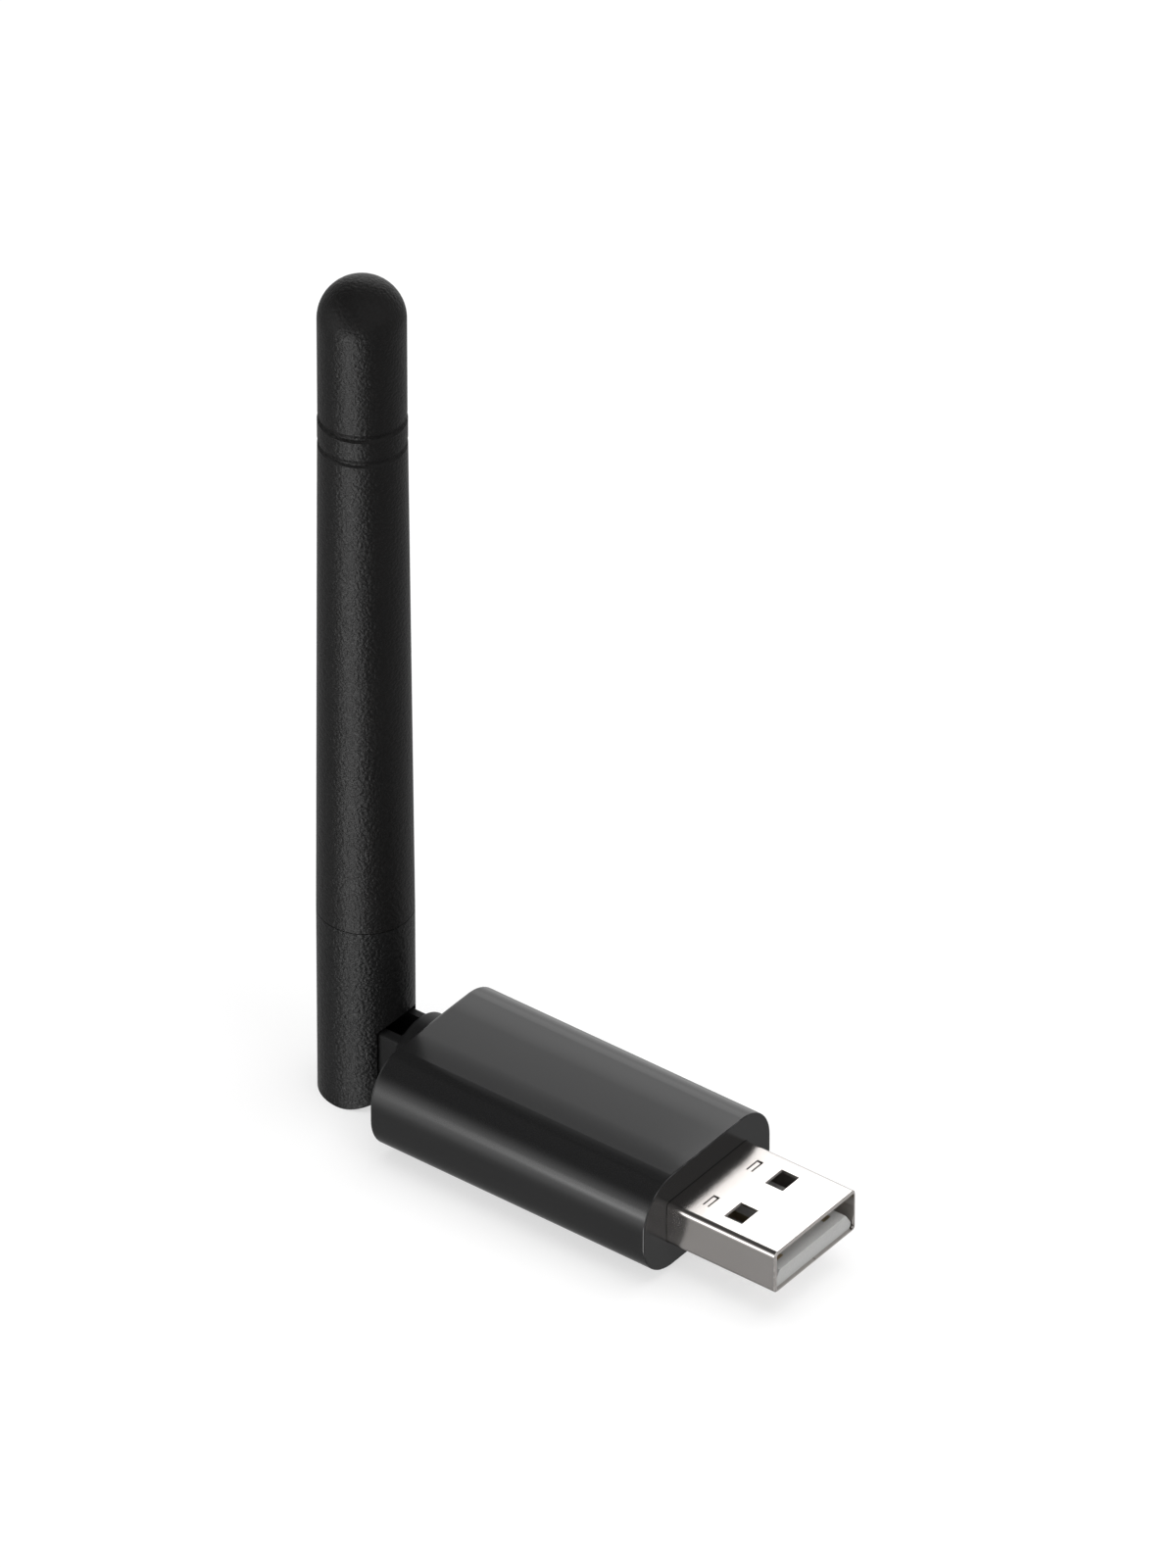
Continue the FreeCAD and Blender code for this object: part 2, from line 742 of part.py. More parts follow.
def make_swivel_base():
    """Turned neck and collar with a flat tongue, its cable channel, two trunnions and a stop lug."""
    groove_start = cap_thickness + ring_axial_gap
    groove_end = groove_start + ring_thickness + ring_slack
    groove_radius = neck_radius - ring_groove_depth
    profile = [
        (-collar_gap - collar_thickness, 0),
        (-collar_gap - collar_thickness, collar_radius),
        (-collar_gap, collar_radius),
        (-collar_gap, neck_radius),
        (groove_start, neck_radius),
        (groove_start, groove_radius),
        (groove_end, groove_radius),
        (groove_end, neck_radius),
        (neck_length - neck_edge_cut, neck_radius),
        (neck_length, neck_radius - neck_edge_cut),
        (neck_length, 0),
    ]
    body = turned(profile, (x_rear, 0, axis_height), (1, 0, 0))
    body = body.makeFillet(collar_edge_radius, edges_at_x(body, x_collar_rear))
    half_width = tongue_width / 2
    half_height = tongue_height / 2
    tongue = box(
        (x_hinge, -half_width, axis_height - half_height),
        (x_collar_rear + collar_thickness / 2, half_width, axis_height + half_height),
    )
    end = rod(half_height, (x_hinge, -half_width, axis_height), (x_hinge, half_width, axis_height))
    tongue = tongue.fuse(end).removeSplitter()
    rim = [
        edge
        for edge in tongue.Edges
        if edge.BoundBox.YLength < tiny and edge.BoundBox.XMin < x_collar_rear
    ]
    tongue = tongue.makeFillet(tongue_edge_radius, rim)
    trunnion_end = half_width + trunnion_reach
    trunnions = rod(
        trunnion_radius,
        (x_hinge, -trunnion_end, axis_height),
        (x_hinge, trunnion_end, axis_height),
    )
    trunnion_rims = [edge for edge in trunnions.Edges if edge.BoundBox.YLength < tiny]
    trunnions = trunnions.makeChamfer(trunnion_edge_cut, trunnion_rims)
    lug = stop_arc(
        stop_radius - stop_width / 2,
        stop_radius + stop_width / 2,
        x_collar_front - stop_root,
        x_rear + stop_height - stop_clearance,
        stop_half_angle,
    )
    body = body.fuse([tongue, trunnions, lug])
    channel_half = half_width - tongue_cheek
    channel = box(
        (x_hinge - tongue_height, -channel_half, axis_height - tongue_floor_drop),
        (x_collar_rear - channel_wall, channel_half, axis_height + tongue_height),
    )
    bore = rod(neck_bore_radius, (x_hinge, 0, axis_height), (x_neck_end + over, 0, axis_height))
    return body.cut([channel, bore]).removeSplitter()


def make_retaining_ring():
    """Open spring ring that snaps into the neck's groove behind the cap."""
    x0 = x_rear + cap_thickness + ring_axial_gap + ring_slack / 2
    x1 = x0 + ring_thickness
    inner = neck_radius - ring_groove_depth + ring_slack
    ring = rod(ring_outer_radius, (x0, 0, axis_height), (x1, 0, axis_height))
    ring = ring.cut(rod(inner, (x0 - over, 0, axis_height), (x1 + over, 0, axis_height)))
    mouth = box(
        (x0 - over, -ring_mouth / 2, axis_height - 2 * ring_outer_radius),
        (x1 + over, ring_mouth / 2, axis_height),
    )
    return ring.cut(mouth)


def knuckle_side(half_width):
    """Knuckle's side outline as a block: square at the back, and round about the hinge towards the can."""
    bottom = axis_height - knuckle_reach
    x_back = x_hinge - knuckle_radius - over
    x_nose = x_hinge + knuckle_reach
    diagonal = knuckle_reach * math.sqrt(0.5)
    corners = {
        "back_foot": Vector(x_back, -half_width, bottom),
        "foot": Vector(x_hinge, -half_width, bottom),
        "curve": Vector(x_hinge + diagonal, -half_width, axis_height - diagonal),
        "nose": Vector(x_nose, -half_width, axis_height),
        "nose_top": Vector(x_nose, -half_width, seam_height),
        "back_top": Vector(x_back, -half_width, seam_height),
    }
    edges = [
        Part.LineSegment(corners["back_foot"], corners["foot"]),
        Part.Arc(corners["foot"], corners["curve"], corners["nose"]),
        Part.LineSegment(corners["nose"], corners["nose_top"]),
        Part.LineSegment(corners["nose_top"], corners["back_top"]),
        Part.LineSegment(corners["back_top"], corners["back_foot"]),
    ]
    return Part.Face(Part.Wire([edge.toShape() for edge in edges])).extrude(Vector(0, 2 * half_width, 0))


def make_knuckle():
    """Antenna knuckle: fork whose end clears the collar, arched slot, blind trunnion seats and a spigot."""
    radius = knuckle_radius
    barrel = rod(radius, (x_hinge, 0, axis_height - knuckle_reach), (x_hinge, 0, seam_height))
    barrel = barrel.common(knuckle_side(radius + over))
    bead_start = spigot_bead_from_seam
    bead_end = bead_start + spigot_bead_length
    bead_radius = spigot_radius + spigot_bead_height
    spigot_profile = [
        (-spigot_root, 0),
        (-spigot_root, spigot_radius),
        (bead_start, spigot_radius),
        (bead_start + spigot_bead_length / 2, bead_radius),
        (bead_end, spigot_radius),
        (spigot_height - spigot_lead_in, spigot_radius),
        (spigot_height, spigot_radius - spigot_lead_in),
        (spigot_height, 0),
    ]
    spigot = turned(spigot_profile, (x_hinge, 0, seam_height), (0, 0, 1))
    bore_top = seam_height + spigot_height + over
    bore = rod(knuckle_bore_radius, (x_hinge, 0, axis_height), (x_hinge, 0, bore_top))
    seat_reach = tongue_width / 2 + trunnion_reach + trunnion_end_gap
    seats = rod(
        trunnion_radius + trunnion_clearance,
        (x_hinge, -seat_reach, axis_height),
        (x_hinge, seat_reach, axis_height),
    )
    return barrel.fuse(spigot).cut([make_slot(), bore, seats]).removeSplitter()


def make_slot():
    """Space of the fork's slot: open to the front and below, with an arched roof and rounded back."""
    half = tongue_width / 2 + slot_side_gap
    x_back = x_hinge - tongue_height / 2 - slot_back_gap
    x_mouth = x_hinge + knuckle_radius + knuckle_reach
    low = axis_height - knuckle_radius - knuckle_reach
    tall = box((x_back, -half, low), (x_mouth, half, axis_height + slot_roof_radius))
    back_edges = [
        edge
        for edge in tall.Edges
        if edge.BoundBox.XMax < x_back + tiny and edge.BoundBox.ZLength > tiny
    ]
    tall = tall.makeFillet(slot_corner_radius, back_edges)
    lower = box((x_back - over, -half - over, low), (x_mouth, half + over, axis_height))
    arch = rod(slot_roof_radius, (x_back - over, 0, axis_height), (x_mouth, 0, axis_height))
    return tall.common(lower.fuse(arch))


def sleeve_radius(height):
    """Outer radius of the sleeve at a height above the axis, by its straight taper."""
    share = (height - knuckle_height) / (groove_heights[0] - knuckle_height)
    return sleeve_base_radius + (sleeve_neck_radius - sleeve_base_radius) * min(max(share, 0.0), 1.0)


def make_sleeve():
    """Antenna sleeve: tapered tube with a domed end, two fine grooves and a seat for the spigot."""
    base = Vector(x_hinge, 0, axis_height)

    def at(radius, height):
        return base + Vector(radius, 0, height)

    tip = sleeve_tip_radius
    diagonal = math.sqrt(0.5)
    lower, upper = groove_heights
    outer = [(sleeve_base_radius - sleeve_seam_break, knuckle_height)]
    outer.append((sleeve_base_radius, knuckle_height + sleeve_seam_break))
    edges = []
    previous = at(*outer[0])
    edges.append(Part.LineSegment(previous, at(*outer[1])).toShape())
    previous = at(*outer[1])
    for height in (lower, upper):
        wall = sleeve_radius(height)
        start = at(wall, height - groove_width / 2)
        finish = at(wall if height == lower else tip, height + groove_width / 2)
        edges.append(Part.LineSegment(previous, start).toShape())
        edges.append(Part.Arc(start, at(wall - groove_depth, height), finish).toShape())
        previous = finish
    dome_start = at(tip, sleeve_dome_base)
    dome_middle = at(tip * diagonal, sleeve_dome_base + tip * diagonal)
    dome_top = at(0, sleeve_dome_base + tip)
    edges.append(Part.LineSegment(previous, dome_start).toShape())
    edges.append(Part.Arc(dome_start, dome_middle, dome_top).toShape())
    edges.append(Part.LineSegment(dome_top, at(0, knuckle_height)).toShape())
    edges.append(Part.LineSegment(at(0, knuckle_height), at(*outer[0])).toShape())
    solid = Part.Face(Part.Wire(edges)).revolve(base, Vector(0, 0, 1), 360)
    seat = spigot_radius + spigot_fit_gap
    bead = seat + spigot_bead_height
    bead_start = knuckle_height + spigot_bead_from_seam - spigot_fit_gap
    bead_end = bead_start + spigot_bead_length + 2 * spigot_fit_gap
    seat_top = knuckle_height + spigot_height + spigot_end_gap
    inner_tip = tip - sleeve_wall
    cavity = [
        (knuckle_height - over, 0),
        (knuckle_height - over, seat),
        (bead_start, seat),
        ((bead_start + bead_end) / 2, bead),
        (bead_end, seat),
        (seat_top, seat),
        (upper, sleeve_neck_radius - sleeve_wall),
        (sleeve_dome_base, inner_tip),
        (sleeve_dome_base, 0),
    ]
    tube = turned(cavity, (x_hinge, 0, axis_height), (0, 0, 1))
    dome = Part.makeSphere(inner_tip, base + Vector(0, 0, sleeve_dome_base))
    return solid.cut(tube.fuse(dome).removeSplitter())


def make_choke():
    """Brass choke tube over the cable, closed at the feed point and open below."""
    z0 = axis_height + choke_base
    z1 = z0 + choke_length
    tube = rod(choke_radius, (x_hinge, 0, z0), (x_hinge, 0, z1))
    hollow = rod(choke_radius - choke_wall, (x_hinge, 0, z0 - over), (x_hinge, 0, z1 - choke_cap))
    hole = rod(cable_radius, (x_hinge, 0, z0), (x_hinge, 0, z1 + over))
    return tube.cut([hollow, hole])


def make_wire():
    """Bare radiating wire above the feed point, with a rounded end."""
    z0 = axis_height + choke_base + choke_length
    z1 = z0 + wire_length
    wire = rod(wire_radius, (x_hinge, 0, z0), (x_hinge, 0, z1))
    return wire.makeFillet(wire_end_radius, [edge for edge in wire.Edges if edge.BoundBox.ZMin > z1 - tiny])


def make_parts():
    """All nodes by name."""
    contacts = [make_contact(centre, setback) for centre, setback in contact_layout()]
    bridge_centre = inset_place(
        x_shield_front + bridge_chip_front_gap + bridge_chip_size[0] / 2,
        bridge_chip_inset,
    )
    regulator_centre = inset_place(x_regulator, regulator_inset)
    diode_centre = (x_shield_front + diode_front_gap + diode_size[0] / 2, diode_y)
    parts = {
        "housing_can": make_can(),
        "rear_cap": make_rear_cap(),
        "circuit_board": make_board(),
        "usb_shell": make_usb_shell(),
        "usb_insert": make_usb_insert(contacts),
        "radio_shield": make_shield(),
        "radio_chip": make_chip(radio_chip_size, beside(shield_centre, radio_chip_offset)),
        "radio_crystal": make_crystal(),
        "usb_bridge_chip": make_chip(bridge_chip_size, bridge_centre),
        "voltage_regulator": make_leaded(regulator_size, regulator_centre, (2, 3), True),
        "usb_surge_diodes": make_leaded(diode_size, diode_centre, (3, 3), False),
        "chip_capacitors": Part.makeCompound(
            [on_board(chip_capacitor_size, place) for place in capacitor_places()]
        ),
        "chip_resistors": Part.makeCompound(
            [on_board(chip_resistor_size, place) for place in resistor_places()]
        ),
        "cable_socket": make_socket(),
        "cable_plug": make_cable_plug(),
        "cable_pigtail": make_pigtail(),
        "swivel_base": make_swivel_base(),
        "retaining_ring": make_retaining_ring(),
        "cable_bend": make_cable_bend(),
        "antenna_knuckle": make_knuckle(),
        "antenna_sleeve": make_sleeve(),
        "antenna_cable": make_antenna_cable(),
        "choke_tube": make_choke(),
        "radiating_wire": make_wire(),
    }
    for number, contact in enumerate(contacts, start=1):
        parts[f"usb_contact_{number}"] = contact
    return parts


def main():
    """Build every node and write it to its own file."""
    os.makedirs("parts", exist_ok=True)
    for name, shape in make_parts().items():
        if not shape.isValid() or not shape.Solids:
            raise ValueError(f"{name} isn't a sound solid")
        shape.exportStep(f"parts/{name}.step")
        size = shape.BoundBox
        print(
            f"{name}: {len(shape.Solids)} solid(s), {shape.Volume:.2f} mm3,"
            f" x {size.XMin:.2f} to {size.XMax:.2f}, y {size.YMin:.2f} to {size.YMax:.2f},"
            f" z {size.ZMin:.2f} to {size.ZMax:.2f}"
        )


main()
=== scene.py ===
"""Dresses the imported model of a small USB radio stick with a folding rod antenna.

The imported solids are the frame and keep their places. The solids whose form is right get their finish
here. The antenna's sleeve, the cable in the hinge and the small chips on the board are made again with
more detail, in the same places. Lengths are in metres, and a size given in millimetres is multiplied
by MM. X runs along the stick towards the plug and Z is up, along the upright antenna.
"""

import json
import logging
import math
from dataclasses import dataclass, fields
from enum import Enum
from typing import Any, Iterable, Mapping, Sequence, Union

import bpy
from mathutils import Matrix, Vector


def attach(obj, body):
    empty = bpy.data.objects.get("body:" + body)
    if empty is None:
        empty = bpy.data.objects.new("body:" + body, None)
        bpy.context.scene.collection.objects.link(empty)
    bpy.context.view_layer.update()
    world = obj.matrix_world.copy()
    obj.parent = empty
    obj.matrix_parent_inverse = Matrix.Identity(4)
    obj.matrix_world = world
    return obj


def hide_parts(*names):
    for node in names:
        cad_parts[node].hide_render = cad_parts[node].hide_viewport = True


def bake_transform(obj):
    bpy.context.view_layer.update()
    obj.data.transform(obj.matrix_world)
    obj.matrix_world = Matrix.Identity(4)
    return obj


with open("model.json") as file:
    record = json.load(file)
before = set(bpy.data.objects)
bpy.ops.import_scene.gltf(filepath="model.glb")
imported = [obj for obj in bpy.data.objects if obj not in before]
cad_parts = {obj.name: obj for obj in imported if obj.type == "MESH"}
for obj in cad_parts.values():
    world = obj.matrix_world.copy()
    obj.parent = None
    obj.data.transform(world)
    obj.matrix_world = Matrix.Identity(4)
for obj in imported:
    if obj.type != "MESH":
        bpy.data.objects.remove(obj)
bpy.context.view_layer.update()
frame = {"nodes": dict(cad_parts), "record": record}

MM = 0.001

log = logging.getLogger("radio_stick")

Colour = tuple[float, float, float]
Value = Union["Signal", bpy.types.NodeSocket, float, int, bool, Sequence[float], bpy.types.ID]


def put_in_scene(name: str, data: bpy.types.ID) -> bpy.types.Object:
    """Makes an object from a mesh, lamp or camera and links it into the scene."""
    piece = bpy.data.objects.new(name, data)
    bpy.context.scene.collection.objects.link(piece)
    return piece


class Signal:
    """A number that varies over a surface or along a mesh, on which Python's operators add Math nodes."""

    def __init__(self, nodes: "NodeMaker", socket: bpy.types.NodeSocket) -> None:
        """Wraps a node's output.

        Args:
            nodes: The maker that adds further nodes to the same tree.
            socket: The output that carries the number.
        """
        self.nodes = nodes
        self.socket = socket

    def __add__(self, other: Value) -> "Signal":
        """Returns the sum of the two numbers."""
        return self.nodes.math("ADD", self, other)

    def __radd__(self, other: Value) -> "Signal":
        """Returns the sum where the number stands on the right."""
        return self.nodes.math("ADD", other, self)

    def __sub__(self, other: Value) -> "Signal":
        """Returns the difference of the two numbers."""
        return self.nodes.math("SUBTRACT", self, other)

    def __rsub__(self, other: Value) -> "Signal":
        """Returns the difference where the number stands on the right."""
        return self.nodes.math("SUBTRACT", other, self)

    def __mul__(self, other: Value) -> "Signal":
        """Returns the product of the two numbers."""
        return self.nodes.math("MULTIPLY", self, other)

    def __truediv__(self, other: Value) -> "Signal":
        """Returns the quotient of the two numbers."""
        return self.nodes.math("DIVIDE", self, other)

    def __neg__(self) -> "Signal":
        """Returns the number with its sign turned."""
        return self.nodes.math("MULTIPLY", self, -1.0)

    def __abs__(self) -> "Signal":
        """Returns the number without its sign."""
        return self.nodes.math("ABSOLUTE", self)

    def __mod__(self, other: Value) -> "Signal":
        """Returns the rest of a division, which is never below zero."""
        return self.nodes.math("FLOORED_MODULO", self, other)

    def floor(self) -> "Signal":
        """Returns the next lower whole number."""
        return self.nodes.math("FLOOR", self)

    def sine(self) -> "Signal":
        """Returns the sine of an angle in radians."""
        return self.nodes.math("SINE", self)

    def cosine(self) -> "Signal":
        """Returns the cosine of an angle in radians."""
        return self.nodes.math("COSINE", self)

    def at_least(self, other: Value) -> "Signal":
        """Returns the larger of the two numbers."""
        return self.nodes.math("MAXIMUM", self, other)

    def at_most(self, other: Value) -> "Signal":
        """Returns the smaller of the two numbers."""
        return self.nodes.math("MINIMUM", self, other)

    def kept(self, low: float = 0.0, high: float = 1.0) -> "Signal":
        """Returns the number, held between two limits."""
        return self.at_least(low).at_most(high)

    def rise(self, low: float, high: float) -> "Signal":
        """Returns a soft step.

        Args:
            low: Where the step starts.
            high: Where it ends. It may lie below low, and then the step falls.

        Returns:
            0 before low, 1 past high and a smooth rise between them.
        """
        ends = {"Value": self, "From Min": min(low, high), "From Max": max(low, high)}
        ends["To Min"], ends["To Max"] = (0.0, 1.0) if high > low else (1.0, 0.0)
        node = self.nodes.add("ShaderNodeMapRange", {"interpolation_type": "SMOOTHSTEP"}, ends)
        return self.nodes.signal(node, "Result")


class NodeMaker:
    """Adds nodes to one tree, of a shader or of a geometry."""

    def __init__(self, tree: bpy.types.NodeTree) -> None:
        """Keeps the tree that the nodes go into."""
        self.tree = tree

    def add(
        self,
        kind: str,
        settings: Mapping[str, Any] | None = None,
        inputs: Mapping[str | int, Value] | None = None,
    ) -> bpy.types.Node:
        """Adds one node.

        Args:
            kind: Blender's name for the node's type.
            settings: The node's own settings, which are set first.
            inputs: Values or links of the node's sockets, by identifier, name or place.

        Returns:
            The new node.
        """
        node = self.tree.nodes.new(kind)
        for name, value in (settings or {}).items():
            setattr(node, name, value)
        for key, value in (inputs or {}).items():
            self.feed(self.find(node.inputs, key), value)
        return node

    @staticmethod
    def find(sockets: Iterable[bpy.types.NodeSocket], key: str | int) -> bpy.types.NodeSocket:
        """Finds a socket by identifier, by name or by place."""
        listed = list(sockets)
        if isinstance(key, int):
            return listed[key]
        for socket in listed:
            if socket.identifier == key:
                return socket
        return next(socket for socket in listed if socket.name == key)

    def feed(self, socket: bpy.types.NodeSocket, value: Value) -> None:
        """Links a socket or sets its value."""
        if isinstance(value, Signal):
            self.tree.links.new(value.socket, socket)
        elif isinstance(value, bpy.types.NodeSocket):
            self.tree.links.new(value, socket)
        elif isinstance(value, (tuple, list)) and socket.type == "RGBA" and len(value) == 3:
            socket.default_value = (*value, 1.0)
        else:
            socket.default_value = value

    def signal(self, node: bpy.types.Node, key: str | int = 0) -> Signal:
        """Wraps one of a node's outputs."""
        return Signal(self, self.find(node.outputs, key))

    def math(self, operation: str, *values: Value) -> Signal:
        """Adds a Math node and returns its output."""
        node = self.add("ShaderNodeMath", {"operation": operation}, dict(enumerate(values)))
        return self.signal(node)

    def point(self, x: Value, y: Value, z: Value) -> bpy.types.NodeSocket:
        """Joins three numbers to a vector."""
        return self.add("ShaderNodeCombineXYZ", inputs={"X": x, "Y": y, "Z": z}).outputs[0]


class ShaderMaker(NodeMaker):
    """Adds nodes to a new material whose surface is one Principled shader."""

    def __init__(self, name: str) -> None:
        """Makes the material with its shader and its Object coordinates."""
        self.material = bpy.data.materials.new(name)
        self.material.use_nodes = True
        super().__init__(self.material.node_tree)
        self.tree.nodes.clear()
        self.shader = self.add("ShaderNodeBsdfPrincipled")
        self.add("ShaderNodeOutputMaterial", inputs={"Surface": self.shader.outputs[0]})
        source = self.add("ShaderNodeTexCoord")
        self.place = self.find(source.outputs, "Object")
        self.turned = self.find(source.outputs, "Normal")
        self._split = None

    def along(self, axis: str) -> Signal:
        """Returns the surface point's coordinate along X, Y or Z, in metres."""
        if self._split is None:
            self._split = self.add("ShaderNodeSeparateXYZ", inputs={0: self.place})
        return self.signal(self._split, axis)

    def facing(self, axis: str) -> Signal:
        """Returns how far the surface faces along X, Y or Z, from -1 to 1."""
        return self.signal(self.add("ShaderNodeSeparateXYZ", inputs={0: self.turned}), axis)

    def noise(self, size: float, stretch: Sequence[float] = (1, 1, 1), detail: float = 2.0) -> Signal:
        """Adds cloudy noise.

        Args:
            size: Width of a patch, in metres.
            stretch: How many times longer the patches are along X, Y and Z.
            detail: Number of finer layers.

        Returns:
            The noise, from 0 to 1 with most of it near a half.
        """
        scale = [1.0 / (size * times) for times in stretch]
        grown = self.add("ShaderNodeMapping", inputs={"Vector": self.place, "Scale": scale})
        node = self.add(
            "ShaderNodeTexNoise",
            inputs={"Vector": grown.outputs[0], "Scale": 1.0, "Detail": detail, "Roughness": 0.55},
        )
        return self.signal(node, 0)

    def pebbles(self, size: float) -> Signal:
        """Adds rounded cells and returns the distance from each cell's middle, from 0 to about 1."""
        grown = self.add("ShaderNodeMapping", inputs={"Vector": self.place, "Scale": [1.0 / size] * 3})
        settings = {"feature": "SMOOTH_F1"}
        inputs = {"Vector": grown.outputs[0], "Scale": 1.0, "Smoothness": 0.35}
        return self.signal(self.add("ShaderNodeTexVoronoi", settings, inputs), "Distance")

    def blend(self, share: Value, first: Value, second: Value) -> bpy.types.NodeSocket:
        """Mixes two colours and returns the colour socket."""
        node = self.add(
            "ShaderNodeMix",
            {"data_type": "RGBA"},
            {"Factor_Float": share, "A_Color": first, "B_Color": second},
        )
        return self.find(node.outputs, "Result_Color")

    def relief(
        self, height: Value, depth: float, below: Value | None = None, share: Value = 1.0
    ) -> bpy.types.NodeSocket:
        """Adds a bump.

        Args:
            height: The relief, from 0 to 1.
            depth: Its depth in metres.
            below: Normal of a coarser relief that this one lies on.
            share: How much of the relief shows, from 0 to 1.

        Returns:
            The normal's socket.
        """
        inputs = {"Strength": share, "Distance": depth, "Height": height}
        if below is not None:
            inputs["Normal"] = below
        return self.add("ShaderNodeBump", inputs=inputs).outputs[0]

    def dress(self, **inputs: Value) -> bpy.types.Material:
        """Sets the Principled shader's sockets and returns the material.

        Args:
            **inputs: Values or links by the socket's name, with _ for a space.

        Returns:
            The finished material.
        """
        for name, value in inputs.items():
            self.feed(self.find(self.shader.inputs, name.replace("_", " ")), value)
        return self.material


class Grain(Enum):
    """How a mould or a tool leaves a surface."""

    SPARK_ERODED = "pebbled"
    SATIN = "fine"
    POLISHED = "smooth"


class Direction(Enum):
    """Which way drawing or rolling lines run."""

    ALONG_STICK = (40.0, 1.0, 1.0)
    ALONG_ANTENNA = (1.0, 1.0, 40.0)
    NONE = (1.0, 1.0, 1.0)


@dataclass(frozen=True)
class Finish:
    """Surface of one of the stick's materials."""

    name: str
    colour: Colour
    roughness: float
    specular: float = 0.5

    def material(self) -> bpy.types.Material:
        """Builds the finish and returns its material."""
        raise NotImplementedError


@dataclass(frozen=True)
class MouldedPlastic(Finish):
    """Moulded plastic with the grain of its mould, a little uneven in tone and gloss."""

    grain: Grain = Grain.SATIN
    grain_size: float = 0.2 * MM
    grain_depth: float = 0.01 * MM
    tone_spread: float = 0.2
    gloss_spread: float = 0.06
    cloud_size: float = 9 * MM
    ripple_size: float = 1.2 * MM

    def material(self) -> bpy.types.Material:
        """Builds the plastic and returns its material."""
        maker = ShaderMaker(self.name)
        fine = maker.noise(self.grain_size, detail=3.0)
        broad = maker.noise(self.cloud_size)
        relief = fine.rise(0.3, 0.7)
        if self.grain is Grain.SPARK_ERODED:
            relief = relief * 0.6 + maker.pebbles(self.grain_size * 1.5).rise(0.75, 0.1) * 0.4
        elif self.grain is Grain.POLISHED:
            relief = maker.noise(self.ripple_size, detail=1.0)
        lighter = tuple(min(1.0, part * (1 + self.tone_spread)) for part in self.colour)
        darker = tuple(part * (1 - self.tone_spread) for part in self.colour)
        tone = maker.blend((relief * 0.7 + broad.rise(0.35, 0.65) * 0.3).kept(), darker, lighter)
        gloss = self.roughness + (broad - 0.5) * (2 * self.gloss_spread)
        return maker.dress(
            Base_Color=tone,
            Roughness=gloss,
            Specular_IOR_Level=self.specular,
            Normal=maker.relief(relief, self.grain_depth),
        )


@dataclass(frozen=True)
class BlastedAnodising(Finish):
    """Bead-blasted and dyed aluminium: an even satin sheen, with its edge fillets lighter in patches,
    partly thinner dye and partly a painted edge highlight.
    """

    highlight_and_wear_tint: Colour = (0.05, 0.05, 0.052)
    shoulder: tuple[float, float] = (2.2 * MM, 7.2 * MM)
    shoulder_drop: float = 0.17 * MM
    blast_size: float = 0.11 * MM
    blast_depth: float = 0.0008 * MM
    cloud_size: float = 6 * MM
    wear_size: float = 1.3 * MM

    def material(self) -> bpy.types.Material:
        """Builds the anodised surface and returns its material."""
        maker = ShaderMaker(self.name)
        blast = maker.noise(self.blast_size)
        cloud = maker.noise(self.cloud_size, (2.5, 1, 1))
        turn = abs(maker.facing("X"))
        # Painted edge highlight, partly worn dye: the edge fillets get a lighter colour in noisy patches.
        rim = turn.rise(0.3, 0.6) * turn.rise(0.98, 0.9)
        edge_highlight_and_wear = (rim * maker.noise(self.wear_size, detail=3.0).rise(0.35, 0.7)).kept()
        dye = maker.blend(blast.rise(0.3, 0.7), tuple(0.8 * part for part in self.colour), self.colour)
        start, end = self.shoulder
        rounded = maker.relief(
            1 - abs(maker.along("Y")).rise(start, end), self.shoulder_drop, share=1 - turn.rise(0.2, 0.5)
        )
        return maker.dress(
            Base_Color=maker.blend(edge_highlight_and_wear, dye, self.highlight_and_wear_tint),
            Roughness=self.roughness + (cloud - 0.5) * 0.05 + (blast - 0.5) * 0.08,
            Specular_IOR_Level=self.specular,
            Normal=maker.relief(blast, self.blast_depth, rounded),
        )


@dataclass(frozen=True)
class PlatedMetal(Finish):
    """Plated or bare metal sheet or wire, with the fine lines of its rolling and a few dull patches."""

    direction: Direction = Direction.NONE
    line_width: float = 0.05 * MM
    line_depth: float = 0.0004 * MM
    dull_colour: Colour = (0.6, 0.6, 0.6)
    dull_share: float = 0.25
    dull_roughness: float = 0.08
    sheared: float = 0.0
    patch_size: float = 2.2 * MM

    def material(self) -> bpy.types.Material:
        """Builds the metal and returns its material."""
        maker = ShaderMaker(self.name)
        lines = maker.noise(self.line_width, self.direction.value)
        patch = maker.noise(self.patch_size, detail=3.0).rise(0.45, 0.75)
        tone = maker.blend(patch * self.dull_share, self.colour, self.dull_colour)
        edge = abs(maker.facing("X")).rise(0.5, 0.85) * self.sheared
        return maker.dress(
            Base_Color=tone,
            Metallic=1.0 - edge,
            Roughness=self.roughness + patch * self.dull_roughness + (lines - 0.5) * 0.06 + edge * 0.3,
            Normal=maker.relief(lines, self.line_depth),
        )


